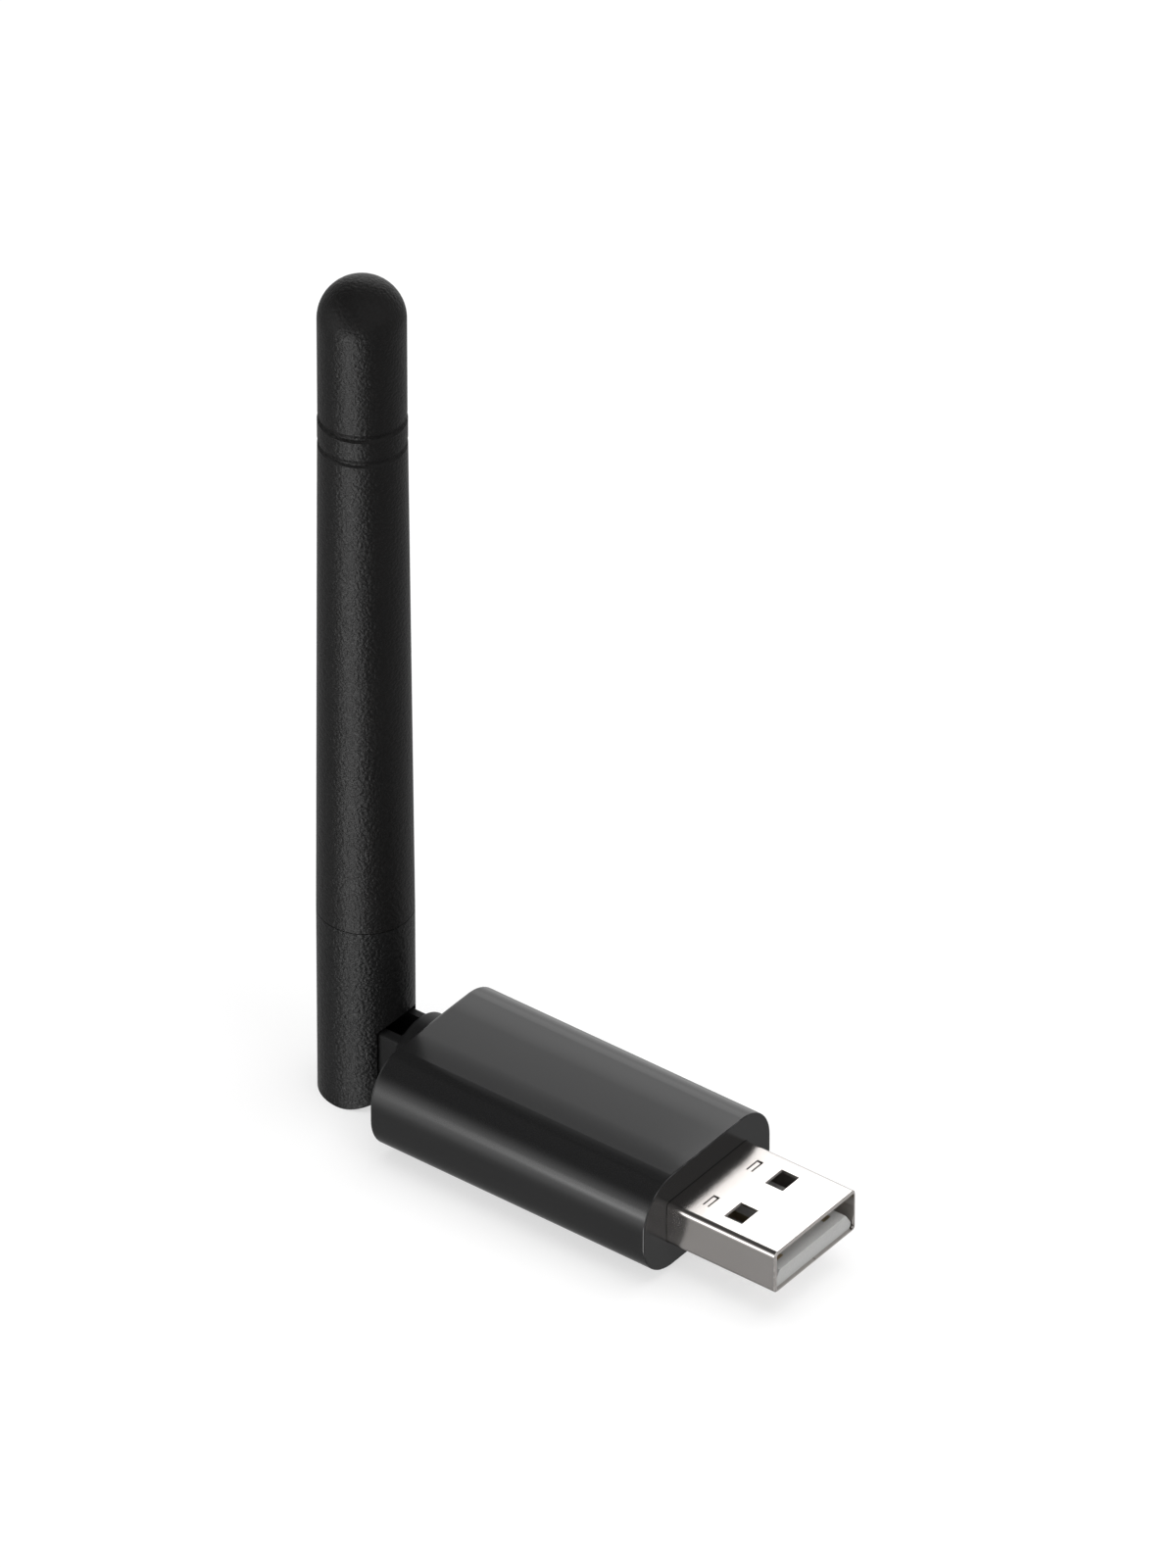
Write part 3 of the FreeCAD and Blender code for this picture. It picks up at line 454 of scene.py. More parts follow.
@dataclass(frozen=True)
class SolderMask(Finish):
    """Circuit board: solder mask over copper lines, and the glass weave on the cut edges."""

    copper_tone: Colour = (0.03, 0.14, 0.07)
    edge_tone: Colour = (0.30, 0.27, 0.15)
    line_pitch: float = 0.8 * MM
    line_share: float = 0.36
    line_edge: float = 0.06
    line_height: float = 0.012 * MM
    route_size: float = 5 * MM
    weave_size: float = 0.25 * MM
    top: float = 4.1 * MM
    bottom: float = 3.1 * MM
    mask_reach: tuple[float, float] = (0.05 * MM, 0.03 * MM)

    def material(self) -> bpy.types.Material:
        """Builds the board's surface and returns its material."""
        maker = ShaderMaker(self.name)
        x, y, z = (maker.along(axis) for axis in "XYZ")
        bend = maker.noise(self.route_size, detail=0.0).rise(0.48, 0.52)
        gap = 0.5 - self.line_share
        along, across = (
            abs((place / self.line_pitch) % 1.0 - 0.5).rise(gap, gap + self.line_edge) for place in (y, x)
        )
        copper = 1 - (along * bend + across * (1 - bend))
        deep, shallow = self.mask_reach
        upper = z.rise(self.top - deep, self.top - shallow)
        faces = (upper + z.rise(self.bottom + deep, self.bottom + shallow)).kept()
        weave = maker.noise(self.weave_size, (3, 3, 0.5), detail=1.0)
        mask = maker.blend(copper, self.colour, self.copper_tone)
        cut = maker.blend(weave, self.edge_tone, tuple(0.6 * part for part in self.edge_tone))
        return maker.dress(
            Base_Color=maker.blend(faces, cut, mask),
            Roughness=(self.roughness + (1 - faces) * 0.4).kept(),
            Specular_IOR_Level=self.specular,
            Coat_Weight=faces * 0.4,
            Normal=maker.relief(copper * 0.7 + weave * 0.3, self.line_height),
        )


@dataclass(frozen=True)
class FiredCeramic(Finish):
    """Matt fired ceramic or moulding compound with small dark and light specks."""

    speck_colour: Colour = (0.5, 0.45, 0.4)
    speck_share: float = 0.35
    speck_size: float = 0.06 * MM
    speck_depth: float = 0.003 * MM
    cloud_size: float = 0.7 * MM

    def material(self) -> bpy.types.Material:
        """Builds the ceramic and returns its material."""
        maker = ShaderMaker(self.name)
        speck = maker.noise(self.speck_size)
        cloud = maker.noise(self.cloud_size)
        tone = maker.blend(speck.rise(0.55, 0.75) * self.speck_share, self.colour, self.speck_colour)
        return maker.dress(
            Base_Color=tone,
            Roughness=self.roughness + (cloud - 0.5) * 0.15,
            Specular_IOR_Level=self.specular,
            Normal=maker.relief(speck, self.speck_depth),
        )


class Finishes:
    """The finishes of the whole stick, each built once, by the record's slot."""

    # Each finish starts with its name, colour and roughness.
    LIST: tuple[Finish, ...] = (
        BlastedAnodising("black_anodised", (0.014, 0.014, 0.0142), 0.17, specular=0.45),
        MouldedPlastic(
            "black_cap_plastic", (0.012, 0.012, 0.0125), 0.4, specular=0.2,
            grain_size=0.15 * MM, grain_depth=0.004 * MM,
        ),
        SolderMask("board_laminate", (0.008, 0.055, 0.028), 0.28),
        PlatedMetal(
            "nickel_plate", (0.57, 0.54, 0.52), 0.17, direction=Direction.ALONG_STICK,
            dull_share=0.1, dull_roughness=0.02, sheared=0.5,
        ),
        MouldedPlastic(
            "grey_insert_plastic", (0.62, 0.62, 0.61), 0.45, grain_depth=0.004 * MM, tone_spread=0.05
        ),
        PlatedMetal(
            "gold_plate", (0.6, 0.5, 0.34), 0.35, direction=Direction.ALONG_STICK,
            dull_colour=(0.48, 0.42, 0.33),
        ),
        PlatedMetal("tinned_sheet", (0.68, 0.68, 0.67), 0.34, direction=Direction.ALONG_STICK),
        FiredCeramic("chip_epoxy", (0.02, 0.02, 0.022), 0.6, specular=0.4, speck_colour=(0.06, 0.06, 0.06)),
        PlatedMetal("crystal_can", (0.72, 0.71, 0.68), 0.25),
        FiredCeramic("capacitor_ceramic", (0.36, 0.25, 0.15), 0.55, speck_colour=(0.5, 0.4, 0.28)),
        FiredCeramic(
            "resistor_ceramic", (0.03, 0.03, 0.034), 0.35, speck_colour=(0.2, 0.2, 0.2), speck_share=0.1
        ),
        MouldedPlastic("cable_jacket", (0.03, 0.03, 0.032), 0.42, grain=Grain.POLISHED),
        MouldedPlastic(
            "black_base_plastic", (0.011, 0.011, 0.0112), 0.4, specular=0.12,
            grain_size=0.16 * MM, grain_depth=0.005 * MM,
        ),
        PlatedMetal("spring_steel", (0.5, 0.5, 0.5), 0.3, dull_colour=(0.35, 0.34, 0.33)),
        MouldedPlastic(
            "black_knuckle_plastic", (0.0085, 0.0085, 0.0085), 0.3, specular=0.14,
            grain=Grain.SPARK_ERODED, grain_size=0.28 * MM, grain_depth=0.06 * MM, tone_spread=0.3,
        ),
        MouldedPlastic(
            "black_sleeve_plastic", (0.0085, 0.0082, 0.0081), 0.32, specular=0.135,
            grain=Grain.SPARK_ERODED, grain_size=0.26 * MM, grain_depth=0.045 * MM, tone_spread=0.22,
        ),
        PlatedMetal(
            "bare_brass", (0.78, 0.57, 0.27), 0.3, direction=Direction.ALONG_ANTENNA,
            dull_colour=(0.5, 0.36, 0.16),
        ),
        PlatedMetal(
            "bare_copper", (0.83, 0.43, 0.28), 0.28, direction=Direction.ALONG_ANTENNA,
            dull_colour=(0.5, 0.24, 0.14),
        ),
    )

    def __init__(self) -> None:
        """Builds every finish's material."""
        self.materials = {finish.name: finish.material() for finish in self.LIST}

    def __getitem__(self, slot: str) -> bpy.types.Material:
        """Returns the material of a slot."""
        return self.materials[slot]

    def dress_nodes(self, *nodes: str) -> None:
        """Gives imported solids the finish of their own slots.

        Args:
            *nodes: Names of the solids.
        """
        slots = {part["node"]: part["material_slot"] for part in frame["record"]["subparts"]}
        for node in nodes:
            solid = frame["nodes"][node]
            solid.data.materials.clear()
            solid.data.materials.append(self[slots[node]])
            log.info("%s: packed solid in %s", node, slots[node])


class PieceTree(NodeMaker):
    """A Geometry Nodes tree that makes one piece, with named inputs for its sizes."""

    def __init__(self, name: str, sizes: Mapping[str, float | int]) -> None:
        """Makes the tree and its inputs.

        Args:
            name: Name of the piece.
            sizes: The inputs' names and values. A whole number makes a whole number's input.
        """
        super().__init__(bpy.data.node_groups.new(name, "GeometryNodeTree"))
        self.name = name
        self.sizes = dict(sizes)
        self.tree.interface.new_socket("Geometry", in_out="INPUT", socket_type="NodeSocketGeometry")
        self.identifiers = {}
        for label, value in self.sizes.items():
            kind = "NodeSocketInt" if isinstance(value, int) else "NodeSocketFloat"
            socket = self.tree.interface.new_socket(label, in_out="INPUT", socket_type=kind)
            self.identifiers[label] = socket.identifier
        finish = self.tree.interface.new_socket("Finish", in_out="INPUT", socket_type="NodeSocketMaterial")
        self.identifiers["Finish"] = finish.identifier
        self.tree.interface.new_socket("Geometry", in_out="OUTPUT", socket_type="NodeSocketGeometry")
        self.entry = self.add("NodeGroupInput")
        self.exit = self.add("NodeGroupOutput")
        self.index = self.signal(self.add("GeometryNodeInputIndex"))

    def size(self, label: str) -> Signal:
        """Returns one of the tree's inputs."""
        return self.signal(self.entry, label)

    def ramp(self, start: int, count: int, index: Signal) -> Signal:
        """Rises from 0 to 1 over a run of points.

        Args:
            start: The run's first point.
            count: How many points later it ends.
            index: The points' own number.

        Returns:
            The share of the run that lies behind a point.
        """
        return ((index - start) / count).kept()

    def end_with(self, geometry: bpy.types.NodeSocket) -> None:
        """Realizes the instances, gives the finish and leads the geometry out."""
        real = self.add("GeometryNodeRealizeInstances", inputs={"Geometry": geometry})
        inputs = {"Geometry": real.outputs[0], "Material": self.find(self.entry.outputs, "Finish")}
        dressed = self.add("GeometryNodeSetMaterial", inputs=inputs)
        self.feed(self.exit.inputs[0], dressed.outputs[0])

    def grow(self, finish: bpy.types.Material, points: Sequence[Sequence[float]] = ()) -> bpy.types.Object:
        """Runs the tree and keeps its result as a plain mesh.

        Args:
            finish: The piece's material.
            points: Places that the tree works on, if it takes any.

        Returns:
            The piece, at the origin, with no modifier.
        """
        seed = bpy.data.meshes.new(f"{self.name}_seed")
        seed.from_pydata([tuple(point) for point in points], [], [])
        piece = put_in_scene(self.name, seed)
        modifier = piece.modifiers.new(self.name, "NODES")
        modifier.node_group = self.tree
        for label, value in self.sizes.items():
            modifier[self.identifiers[label]] = value
        modifier[self.identifiers["Finish"]] = finish
        bpy.context.view_layer.update()
        graph = bpy.context.evaluated_depsgraph_get()
        mesh = bpy.data.meshes.new_from_object(
            piece.evaluated_get(graph), preserve_all_data_layers=True, depsgraph=graph
        )
        mesh.name = self.name
        piece.modifiers.remove(modifier)
        piece.data = mesh
        bpy.data.meshes.remove(seed)
        return piece


def soften(piece: bpy.types.Object, degrees: float) -> None:
    """Shades a piece smoothly and leaves its sharper edges crisp.

    Args:
        piece: The mesh object.
        degrees: Edges that turn by more than this stay crisp.
    """
    piece.data.polygons.foreach_set("use_smooth", [True] * len(piece.data.polygons))
    piece.data.set_sharp_from_angle(angle=math.radians(degrees))
    piece.data.update()


def inputs_of(part: Any) -> dict[str, float | int]:
    """Lists a part's sizes as inputs for its tree.

    Args:
        part: A dataclass whose lengths are in millimetres.

    Returns:
        The lengths in metres and the whole numbers as they are, by readable names.
    """
    inputs = {}
    for field in fields(part):
        value = getattr(part, field.name)
        inputs[field.name.replace("_", " ").title()] = value if isinstance(value, int) else value * MM
    return inputs


class Turn(Enum):
    """How a run of the sleeve's outline goes."""

    STRAIGHT = 0
    DOME_OUTSIDE = 1
    DOME_INSIDE = 2


@dataclass
class SleeveOutline:
    """Writes the sleeve's outline into its tree, run after run.

    It gives each point's radius and height from the point's number.
    """

    tree: PieceTree
    row: Signal
    radius: Value
    height: Value
    used: int = 0

    def run(
        self, count: int, across: Value, up: Value, hollow: Value = 0.0, turn: Turn = Turn.STRAIGHT
    ) -> None:
        """Adds a run of points.

        Args:
            count: How many points the run has.
            across: Change of the radius over the run.
            up: Change of the height over the run.
            hollow: How deep the run's middle lies inside the straight line between its ends.
            turn: Whether the run is straight or a quarter of a dome.
        """
        share = self.tree.ramp(self.used, count, self.row)
        quarter = share * (math.pi / 2)
        if turn is Turn.DOME_OUTSIDE:
            out, rise = quarter.sine(), 1 - quarter.cosine()
        elif turn is Turn.DOME_INSIDE:
            out, rise = 1 - quarter.cosine(), quarter.sine()
        else:
            out, rise = share, share
        self.radius = self.radius + out * across
        self.height = self.height + rise * up
        if hollow != 0.0:
            self.radius = self.radius - share * (1 - share) * 4.0 * hollow
        self.used += count


@dataclass
class RodAntenna:
    """The folding rod antenna: knuckle, sleeve and the radiator inside it. Sizes in millimetres."""

    hinge_x: float = -23.0
    axis_height: float = 5.05
    seam_height: float = 14.4
    base_radius: float = 4.45
    neck_radius: float = 4.04
    tip_radius: float = 4.0
    dome_base: float = 79.27
    wall: float = 1.0
    seam_break: float = 0.08
    lower_groove: float = 66.15
    upper_groove: float = 68.85
    groove_width: float = 0.8
    groove_depth: float = 0.16
    groove_shoulder: float = 0.24
    seat_radius: float = 3.34
    bead_start: float = 3.56
    bead_length: float = 0.88
    bead_height: float = 0.15
    seat_depth: float = 6.3
    merge_distance: float = 0.002
    segments: int = 128

    def sleeve(self, finishes: Finishes) -> bpy.types.Object:
        """Makes the sleeve, a tapered tube with two grooves and a domed end, by turning its outline.

        Args:
            finishes: The stick's finishes.

        Returns:
            The sleeve.
        """
        tree = PieceTree("antenna_sleeve_turned", inputs_of(self))
        tip, neck, base = (tree.size(f"{end} Radius") for end in ("Tip", "Neck", "Base"))
        lower, upper = tree.size("Lower Groove"), tree.size("Upper Groove")
        width, depth, shoulder = (tree.size(f"Groove {word}") for word in ("Width", "Depth", "Shoulder"))
        dome, seam, seam_break = (tree.size(label) for label in ("Dome Base", "Seam Height", "Seam Break"))
        seat, seat_depth, wall = (tree.size(label) for label in ("Seat Radius", "Seat Depth", "Wall"))
        bead_start, bead_length = tree.size("Bead Start"), tree.size("Bead Length")
        bead_height = tree.size("Bead Height")
        rows = 105
        # The added thousandth keeps a rounded quotient in its own column.
        column = (tree.index / rows + 0.001 / rows).floor()
        row = tree.index - column * rows
        outline = SleeveOutline(tree, row, 0.0, dome + tip)
        hollow = depth * 0.12
        # Down the outside: the dome, the tip, the upper groove, the neck, the lower groove and the taper.
        outline.run(18, tip, -tip, turn=Turn.DOME_OUTSIDE)
        outline.run(6, 0.0, upper + width * 0.5 - dome)
        outline.run(7, -depth, shoulder - width, hollow=hollow)
        outline.run(3, neck - tip + depth, -shoulder)
        outline.run(3, 0.0, lower - upper + width)
        outline.run(7, -depth, shoulder - width, hollow=hollow)
        outline.run(3, depth, -shoulder)
        outline.run(26, base - neck, seam + seam_break - lower + width * 0.5)
        # In at the seam and up the inside: the seat with its bead, the bore and the dome.
        outline.run(1, -seam_break, -seam_break)
        outline.run(1, seat - base + seam_break, 0.0)
        outline.run(2, 0.0, bead_start)
        outline.run(1, bead_height, bead_length * 0.5)
        outline.run(1, -bead_height, bead_length * 0.5)
        outline.run(2, 0.0, seat_depth - bead_start - bead_length)
        outline.run(6, neck - wall - seat, upper - seam - seat_depth)
        outline.run(3, tip - neck, dome - upper)
        outline.run(14, wall - tip, tip - wall, turn=Turn.DOME_INSIDE)
        if outline.used != rows - 1:
            raise ValueError(f"the outline has {outline.used + 1} points and not {rows}")
        angle = column * (-2 * math.pi) / tree.size("Segments")
        place = tree.point(
            tree.size("Hinge X") + outline.radius * angle.cosine(),
            outline.radius * angle.sine(),
            tree.size("Axis Height") + outline.height,
        )
        counts = {"Vertices X": tree.size("Segments") + 1, "Vertices Y": rows}
        sheet = tree.add("GeometryNodeMeshGrid", inputs={"Size X": 1.0, "Size Y": 1.0, **counts})
        inputs = {"Geometry": sheet.outputs[0], "Position": place}
        shaped = tree.add("GeometryNodeSetPosition", inputs=inputs)
        inputs = {"Geometry": shaped.outputs[0], "Distance": tree.size("Merge Distance")}
        closed = tree.add("GeometryNodeMergeByDistance", inputs=inputs)
        tree.end_with(closed.outputs[0])
        sleeve = tree.grow(finishes["black_sleeve_plastic"])
        soften(sleeve, degrees=20.0)
        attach(sleeve, "antenna")
        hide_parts("antenna_sleeve")
        log.info("%s: %d faces", sleeve.name, len(sleeve.data.polygons))
        return sleeve

    def build(self, finishes: Finishes) -> None:
        """Makes the sleeve and dresses the knuckle, the choke tube and the wire."""
        self.sleeve(finishes)
        finishes.dress_nodes("antenna_knuckle", "choke_tube", "radiating_wire")


@dataclass
class CoaxCable:
    """The coaxial cable from the board to the antenna's feed point. Sizes in millimetres."""

    neck_end_x: float = -11.85
    hinge_x: float = -23.0
    axis_height: float = 5.05
    cable_radius: float = 0.565
    bend_radius: float = 3.0
    roof_height: float = 4.3
    ring_points: int = 28

    def bend(self, finishes: Finishes) -> bpy.types.Object:
        """Makes the stretch that runs through the neck and bends at the hinge.

        Args:
            finishes: The stick's finishes.

        Returns:
            The bend.
        """
        tree = PieceTree("cable_bend_swept", inputs_of(self))
        start, hinge, axis = (tree.size(label) for label in ("Neck End X", "Hinge X", "Axis Height"))
        turn, roof = tree.size("Bend Radius"), tree.size("Roof Height")
        straight, arc, rise = 20, 30, 8
        first = tree.ramp(0, straight, tree.index)
        second = tree.ramp(straight, arc, tree.index) * (math.pi / 2)
        third = tree.ramp(straight + arc, rise, tree.index)
        place = tree.point(
            start - (start - hinge - turn) * first - turn * second.sine(),
            0.0,
            axis + turn * (1 - second.cosine()) + (roof - turn) * third,
        )
        line = tree.add("GeometryNodeMeshLine", inputs={"Count": straight + arc + rise + 1})
        laid = tree.add("GeometryNodeSetPosition", inputs={"Geometry": line.outputs[0], "Position": place})
        path = tree.add("GeometryNodeMeshToCurve", inputs={"Mesh": laid.outputs[0]})
        inputs = {"Resolution": tree.size("Ring Points"), "Radius": tree.size("Cable Radius")}
        ring = tree.add("GeometryNodeCurvePrimitiveCircle", inputs=inputs)
        tube = tree.add(
            "GeometryNodeCurveToMesh",
            inputs={"Curve": path.outputs[0], "Profile Curve": ring.outputs[0], "Fill Caps": True},
        )
        tree.end_with(tube.outputs[0])
        bend = tree.grow(finishes["cable_jacket"])
        soften(bend, degrees=40.0)
        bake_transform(bend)
        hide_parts("cable_bend")
        log.info("%s: %d faces", bend.name, len(bend.data.polygons))
        return bend

    def build(self, finishes: Finishes) -> None:
        """Makes the bend and dresses the rest of the cable with its plug."""
        self.bend(finishes)
        finishes.dress_nodes("cable_pigtail", "antenna_cable", "cable_plug")


@dataclass
class RadioBoard:
    """The circuit board with its parts. Sizes in millimetres, places along X and Y."""

    board_top: float = 4.1
    capacitor_size: tuple[float, float, float] = (1.0, 0.5, 0.5)
    resistor_size: tuple[float, float, float] = (1.0, 0.5, 0.35)
    terminal_length: float = 0.22
    tinning: float = 0.03
    edge_rounding: float = 0.04
    capacitor_places: tuple[tuple[float, float], ...] = (
        (-5.7, 6.0), (-5.7, 4.8), (-5.7, 3.6), (4.4, -6.0), (4.4, -4.8), (4.4, -3.6),
        (0.25, 6.6), (0.25, 5.4),
    )
    resistor_places: tuple[tuple[float, float], ...] = (
        (1.75, 6.6), (1.75, 5.4), (-7.8, 4.4), (-7.8, -4.4), (-7.8, -5.6), (4.4, 1.5),
    )

    def chips(
        self,
        name: str,
        size: tuple[float, float, float],
        offsets: Sequence[float],
        places: Sequence[tuple[float, float]],
        finish: bpy.types.Material,
    ) -> bpy.types.Object:
        """Sets one block on each of several places on the board.

        Args:
            name: The piece's name.
            size: The block's length, width and height in millimetres.
            offsets: Where along X the blocks stand at each place.
            places: The places on the board.
            finish: The blocks' material.

        Returns:
            The piece with all the blocks.
        """
        length, width, height = size
        tree = PieceTree(name, {"Length": length * MM, "Width": width * MM, "Height": height * MM})
        block = tree.add(
            "GeometryNodeMeshCube",
            inputs={"Size": tree.point(tree.size("Length"), tree.size("Width"), tree.size("Height"))},
        )
        inputs = {"Points": tree.find(tree.entry.outputs, "Geometry"), "Instance": block.outputs[0]}
        set_down = tree.add("GeometryNodeInstanceOnPoints", inputs=inputs)
        tree.end_with(set_down.outputs[0])
        middle = self.board_top + height / 2
        points = [Vector((x + offset, y, middle)) * MM for x, y in places for offset in offsets]
        piece = tree.grow(finish, points)
        rounding = piece.modifiers.new("rounded_edges", "BEVEL")
        rounding.width = self.edge_rounding * MM
        rounding.segments = 2
        rounding.limit_method = "ANGLE"
        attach(piece, "stick")
        log.info("%s: %d blocks", name, len(points))
        return piece

    def small_chips(self, finishes: Finishes) -> None:
        """Makes the capacitors' and resistors' bodies and their tinned ends."""
        kinds = (
            ("capacitor", self.capacitor_size, self.capacitor_places, "capacitor_ceramic"),
            ("resistor", self.resistor_size, self.resistor_places, "resistor_ceramic"),
        )
        for kind, size, places, slot in kinds:
            length, width, height = size
            trim = self.tinning
            body_size = (length - 2 * self.terminal_length, width - trim, height - trim / 2)
            body = self.chips(f"{kind}_bodies", body_size, (0.0,), places, finishes[slot])
            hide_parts(f"chip_{kind}s")
            reach = (length - self.terminal_length) / 2
            end_size = (self.terminal_length, width, height)
            ends = self.chips(f"{kind}_ends", end_size, (-reach, reach), places, finishes["tinned_sheet"])

    def build(self, finishes: Finishes) -> None:
        """Makes the small chips and dresses the board and its larger parts."""
        self.small_chips(finishes)
        finishes.dress_nodes(
            "circuit_board", "radio_shield", "radio_chip", "radio_crystal", "usb_bridge_chip",
            "voltage_regulator", "usb_surge_diodes", "cable_socket",
        )


class Enclosure:
    """The black can and the cap that closes it."""

    def build(self, finishes: Finishes) -> None:
        """Dresses the can and the cap."""
        finishes.dress_nodes("housing_can", "rear_cap")


class UsbPlug:
    """The plug: folded shell, moulded insert and four contacts."""

    def build(self, finishes: Finishes) -> None:
        """Dresses the shell, the insert and the contacts."""
        contacts = (f"usb_contact_{number}" for number in range(1, 5))
        finishes.dress_nodes("usb_shell", "usb_insert", *contacts)


class SwivelBase:
    """The swivel base with its tongue and the ring that keeps it in the cap."""

    def build(self, finishes: Finishes) -> None:
        """Dresses the base and the ring."""
        finishes.dress_nodes("swivel_base", "retaining_ring")


@dataclass(frozen=True)
class Softbox:
    """A rectangular lamp that looks at the stick."""

    name: str
    azimuth: float
    elevation: float
    distance: float
    width: float
    height: float
    radiance: float
    seen_in_gloss: bool = True
    lights_diffuse: bool = True
    aim: tuple[float, float, float] = (0.0, 0.0, 20 * MM)

    def build(self) -> bpy.types.Object:
        """Makes the lamp, which looks at its aim from the side that its angles name.

        Returns:
            The lamp's object.
        """
        a, e = math.radians(self.azimuth), math.radians(self.elevation)
        towards = Vector((math.cos(a) * math.cos(e), math.sin(a) * math.cos(e), math.sin(e)))
        across = Vector((-math.sin(a), math.cos(a), 0.0))
        lamp = bpy.data.lights.new(self.name, "AREA")
        lamp.shape = "RECTANGLE"
        lamp.size, lamp.size_y = self.width, self.height
        lamp.energy = math.pi * self.width * self.height * self.radiance
        piece = put_in_scene(self.name, lamp)
        turned = Matrix((across, towards.cross(across), towards)).transposed().to_4x4()
        piece.matrix_world = Matrix.Translation(Vector(self.aim) + towards * self.distance) @ turned
        piece.visible_camera = False
        piece.visible_glossy = self.seen_in_gloss
        piece.visible_diffuse = self.lights_diffuse
        log.info("%s: radiance %.2f", self.name, self.radiance)
        return piece


@dataclass(frozen=True)
class Glow:
    """A soft-edged bright patch of the surroundings, which only glossy surfaces see. Angles in degrees."""

    azimuth: float
    elevation: float
    half_width: float
    half_height: float
    radiance: float
    softness: float = 12.0

    def strength(self, azimuth: Signal, elevation: Signal) -> Signal:
        """Adds the nodes that give the patch's light.

        Args:
            azimuth: The direction's turn about Z, in radians.
            elevation: Its angle over the horizon, in radians.

        Returns:
            The patch's radiance in that direction.
        """
        turn = abs((azimuth - math.radians(self.azimuth) + math.pi) % (2 * math.pi) - math.pi)
        lift = abs(elevation - math.radians(self.elevation))
        shares = []
        for offset, half in ((turn, self.half_width), (lift, self.half_height)):
            outer = math.radians(half + self.softness / 2)
            shares.append(offset.rise(outer, math.radians(half - self.softness / 2)))
        return shares[0] * shares[1] * self.radiance


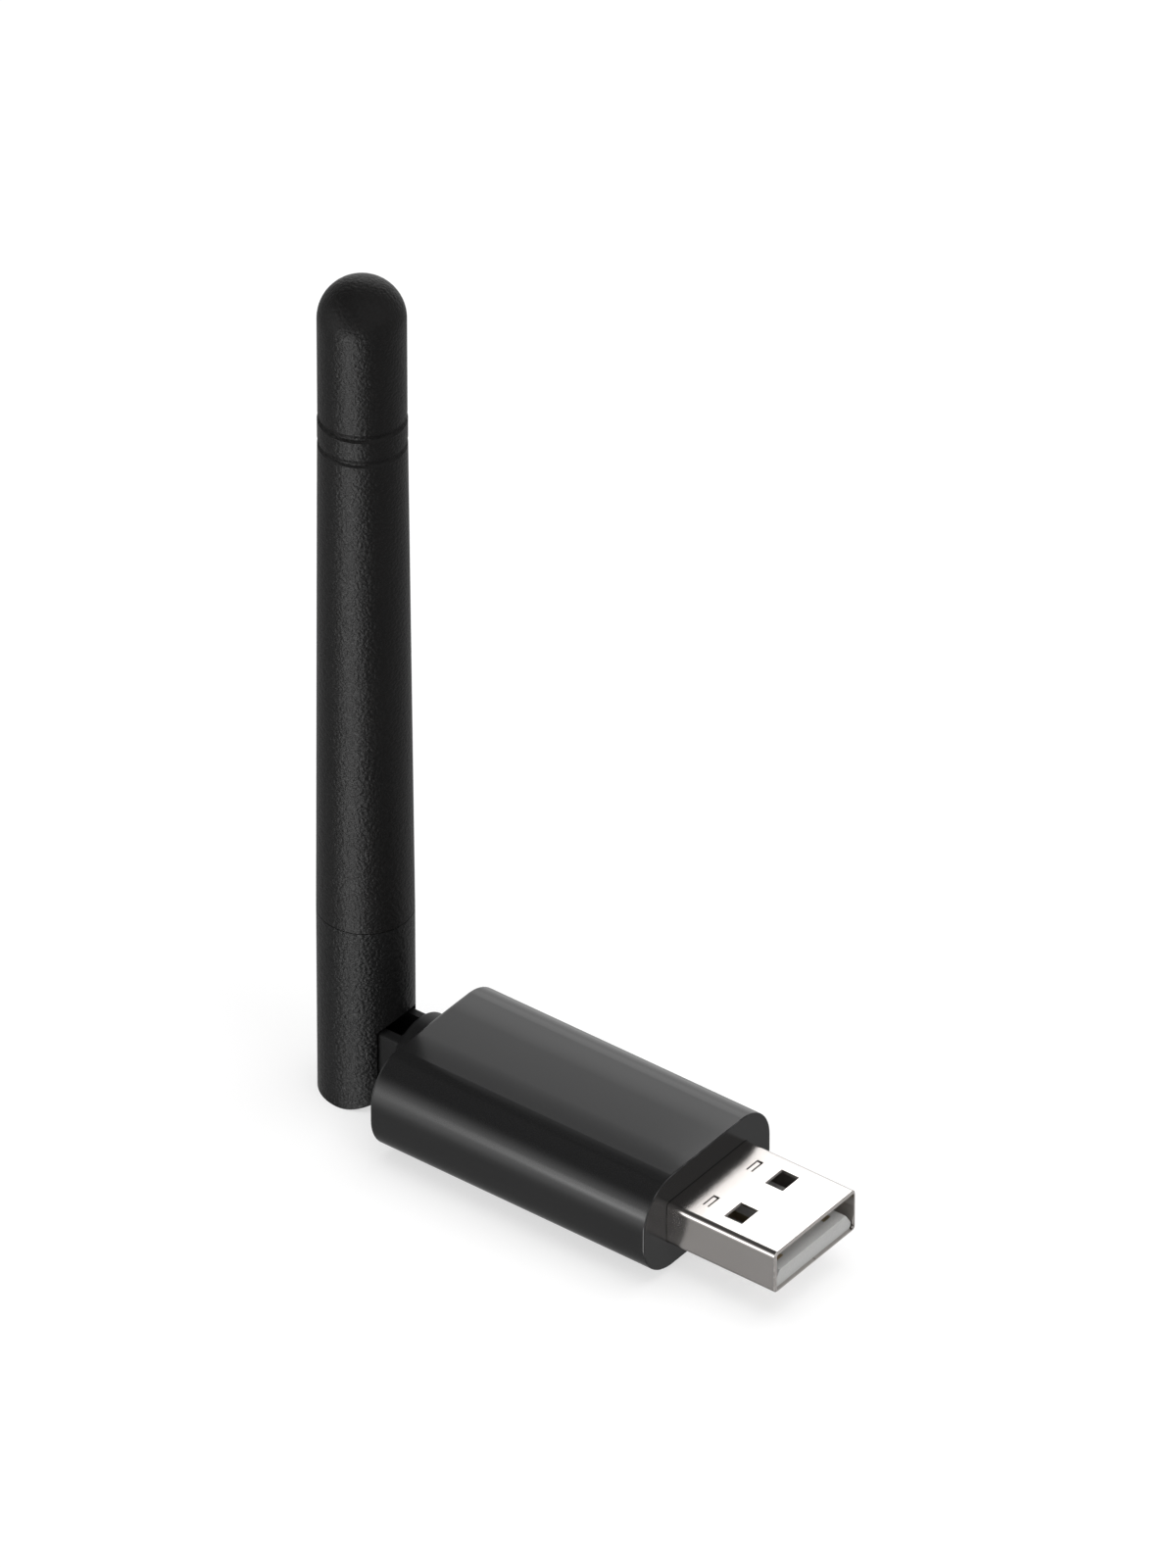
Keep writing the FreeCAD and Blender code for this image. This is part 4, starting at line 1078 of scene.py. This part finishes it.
@dataclass
class Studio:
    """Pale floor, soft lamps, white surroundings and the camera at the photograph's angle."""

    floor_height: float = -0.66 * MM
    floor_half: float = 2.0
    floor_colour: float = 0.4
    floor_white: float = 0.62
    ambient: float = 0.44
    nadir: float = 0.26
    low_left: float = 0.38
    low_right: float = 0.4
    horizon: float = 0.4
    zenith: float = 0.08
    side_fade: tuple[float, float] = (0.4, -0.5)
    nadir_fade: tuple[float, float] = (-0.9, -0.65)
    zenith_fade: tuple[float, float] = (0.1, 0.75)
    horizon_fade: tuple[float, float] = (-0.1, 0.02)
    softboxes: tuple[Softbox, ...] = (
        Softbox("overhead_soft", 20.0, 84.0, 1.1, 1.2, 1.2, 2.2, seen_in_gloss=False),
        Softbox(
            "plug_light", -90.0, 90.0, 0.04, 0.012, 0.03, 3.0, lights_diffuse=False,
            aim=(-4.5 * MM, 42.4 * MM, 7.3 * MM),
        ),
        Softbox("front_left", -91.4, 0.0, 0.2, 0.212, 0.06, 1.6, aim=(0.0, 0.0, 30.5 * MM)),
        Softbox(
            "front_strip", -90.0, 0.0, 0.06, 0.07, 0.012, 1.35, lights_diffuse=False,
            aim=(6 * MM, -9.35 * MM, 6.5 * MM),
        ),
        Softbox("right_fill", -10.0, 25.0, 1.2, 0.6, 0.6, 2.3, seen_in_gloss=False),
    )
    # Each glow's azimuth, elevation, half width, half height, radiance and softness.
    glows: tuple[Glow, ...] = (
        Glow(118.0, 26.0, 22.0, 11.0, 0.92, 15.0),
        Glow(118.0, 14.0, 26.0, 33.5, 0.6, 19.0),
        Glow(53.0, 28.0, 26.0, 22.0, 0.2, 20.0),
        Glow(-122.0, 3.5, 24.0, 20.5, 1.7, 41.0),
        Glow(-84.0, -36.0, 20.0, 16.0, 7.5, 10.0),
        Glow(-22.0, 40.0, 46.0, 30.0, 0.5, 24.0),
    )
    camera_turn: float = 0.6517
    camera_tilt: float = 0.6432
    camera_distance: float = 2.2892
    camera_shift: tuple[float, float] = (-13.9364 * MM, -25.112 * MM)
    camera_target: tuple[float, float, float] = (-15.45 * MM, 0.0, 5.05 * MM)
    camera_lens: float = 585.0
    camera_sensor: float = 36.0
    camera_clip: tuple[float, float] = (0.1, 20.0)

    def floor(self) -> bpy.types.Object:
        """Makes the floor, which shows white and keeps the stick's shadow.

        Returns:
            The floor.
        """
        half = self.floor_half
        mesh = bpy.data.meshes.new("floor")
        corners = [(-half, -half), (half, -half), (half, half), (-half, half)]
        mesh.from_pydata([(x, y, self.floor_height) for x, y in corners], [], [(0, 1, 2, 3)])
        floor = put_in_scene("floor", mesh)
        material = bpy.data.materials.new("pale_floor")
        material.use_nodes = True
        maker = NodeMaker(material.node_tree)
        maker.tree.nodes.clear()
        shade = self.floor_colour
        card = maker.add("ShaderNodeBsdfDiffuse", inputs={"Color": (shade, shade, shade)})
        path = maker.add("ShaderNodeLightPath")
        seen = maker.signal(path, "Is Camera Ray") * self.floor_white
        glow = maker.add("ShaderNodeEmission", inputs={"Color": (1.0, 1.0, 1.0), "Strength": seen})
        both = maker.add("ShaderNodeAddShader", inputs={0: card.outputs[0], 1: glow.outputs[0]})
        clear = maker.add("ShaderNodeBsdfTransparent")
        under = maker.signal(maker.add("ShaderNodeNewGeometry"), "Backfacing")
        sided = maker.add("ShaderNodeMixShader", inputs={0: under, 1: both.outputs[0], 2: clear.outputs[0]})
        maker.add("ShaderNodeOutputMaterial", inputs={"Surface": sided.outputs[0]})
        mesh.materials.append(material)
        floor.visible_glossy = False
        log.info("floor: %.1f m wide", 2 * half)
        return floor

    def surroundings(self) -> None:
        """Makes the world: white to the camera, an even soft light, and bright patches only in gloss."""
        world = bpy.data.worlds.new("studio_world")
        world.use_nodes = True
        bpy.context.scene.world = world
        maker = NodeMaker(world.node_tree)
        maker.tree.nodes.clear()
        direction = maker.find(maker.add("ShaderNodeTexCoord").outputs, "Generated")
        split = maker.add("ShaderNodeSeparateXYZ", inputs={0: direction})
        east, north, up = (maker.signal(split, axis) for axis in "XYZ")
        path = maker.add("ShaderNodeLightPath")
        camera = maker.signal(path, "Is Camera Ray")
        gloss = (maker.signal(path, "Is Glossy Ray") + maker.signal(path, "Is Transmission Ray")).kept()
        below = self.low_right + east.rise(*self.side_fade) * (self.low_left - self.low_right)
        below = self.nadir + up.rise(*self.nadir_fade) * (below - self.nadir)
        above = self.horizon - up.rise(*self.zenith_fade) * (self.horizon - self.zenith)
        mirrored = below + up.rise(*self.horizon_fade) * (above - below)
        azimuth, elevation = maker.math("ARCTAN2", north, east), maker.math("ARCSINE", up)
        for glow in self.glows:
            mirrored = mirrored + glow.strength(azimuth, elevation)
        strength = camera + (1 - camera) * (gloss * mirrored + (1 - gloss) * self.ambient)
        back = maker.add("ShaderNodeBackground", inputs={"Color": (1.0, 1.0, 1.0), "Strength": strength})
        maker.add("ShaderNodeOutputWorld", inputs={"Surface": back.outputs[0]})
        log.info("world: ambient %.2f", self.ambient)

    def camera(self) -> bpy.types.Object:
        """Makes the camera at the photograph's angle, with its framing.

        Returns:
            The camera.
        """
        turn, tilt = self.camera_turn, self.camera_tilt
        right = Vector((math.cos(turn), math.sin(turn), 0))
        back = Vector((math.sin(turn) * math.cos(tilt), -math.cos(turn) * math.cos(tilt), math.sin(tilt)))
        up = back.cross(right)
        data = bpy.data.cameras.new("camera")
        data.lens = self.camera_lens
        data.sensor_width = self.camera_sensor
        data.clip_start, data.clip_end = self.camera_clip
        camera = put_in_scene("camera", data)
        across, above = self.camera_shift
        place = Vector(self.camera_target) - right * across - up * above + back * self.camera_distance
        turned = Matrix((right, up, back)).transposed().to_4x4()
        camera.matrix_world = Matrix.Translation(place) @ turned
        bpy.context.scene.camera = camera
        log.info("camera: lens %.0f mm", data.lens)
        return camera

    def build(self) -> None:
        """Makes the floor, the lamps, the world and the camera."""
        bpy.context.scene.view_settings.view_transform = "Standard"
        self.floor()
        self.surroundings()
        for softbox in self.softboxes:
            softbox.build()
        self.camera()


def main() -> None:
    """Builds the studio, then each sub-assembly in order."""
    logging.basicConfig(level=logging.INFO, format="%(name)s: %(message)s")
    Studio().build()
    finishes = Finishes()
    for assembly in (Enclosure(), UsbPlug(), RadioBoard(), CoaxCable(), SwivelBase(), RodAntenna()):
        log.info("%s", type(assembly).__name__)
        assembly.build(finishes)


if __name__ == "__main__":
    main()
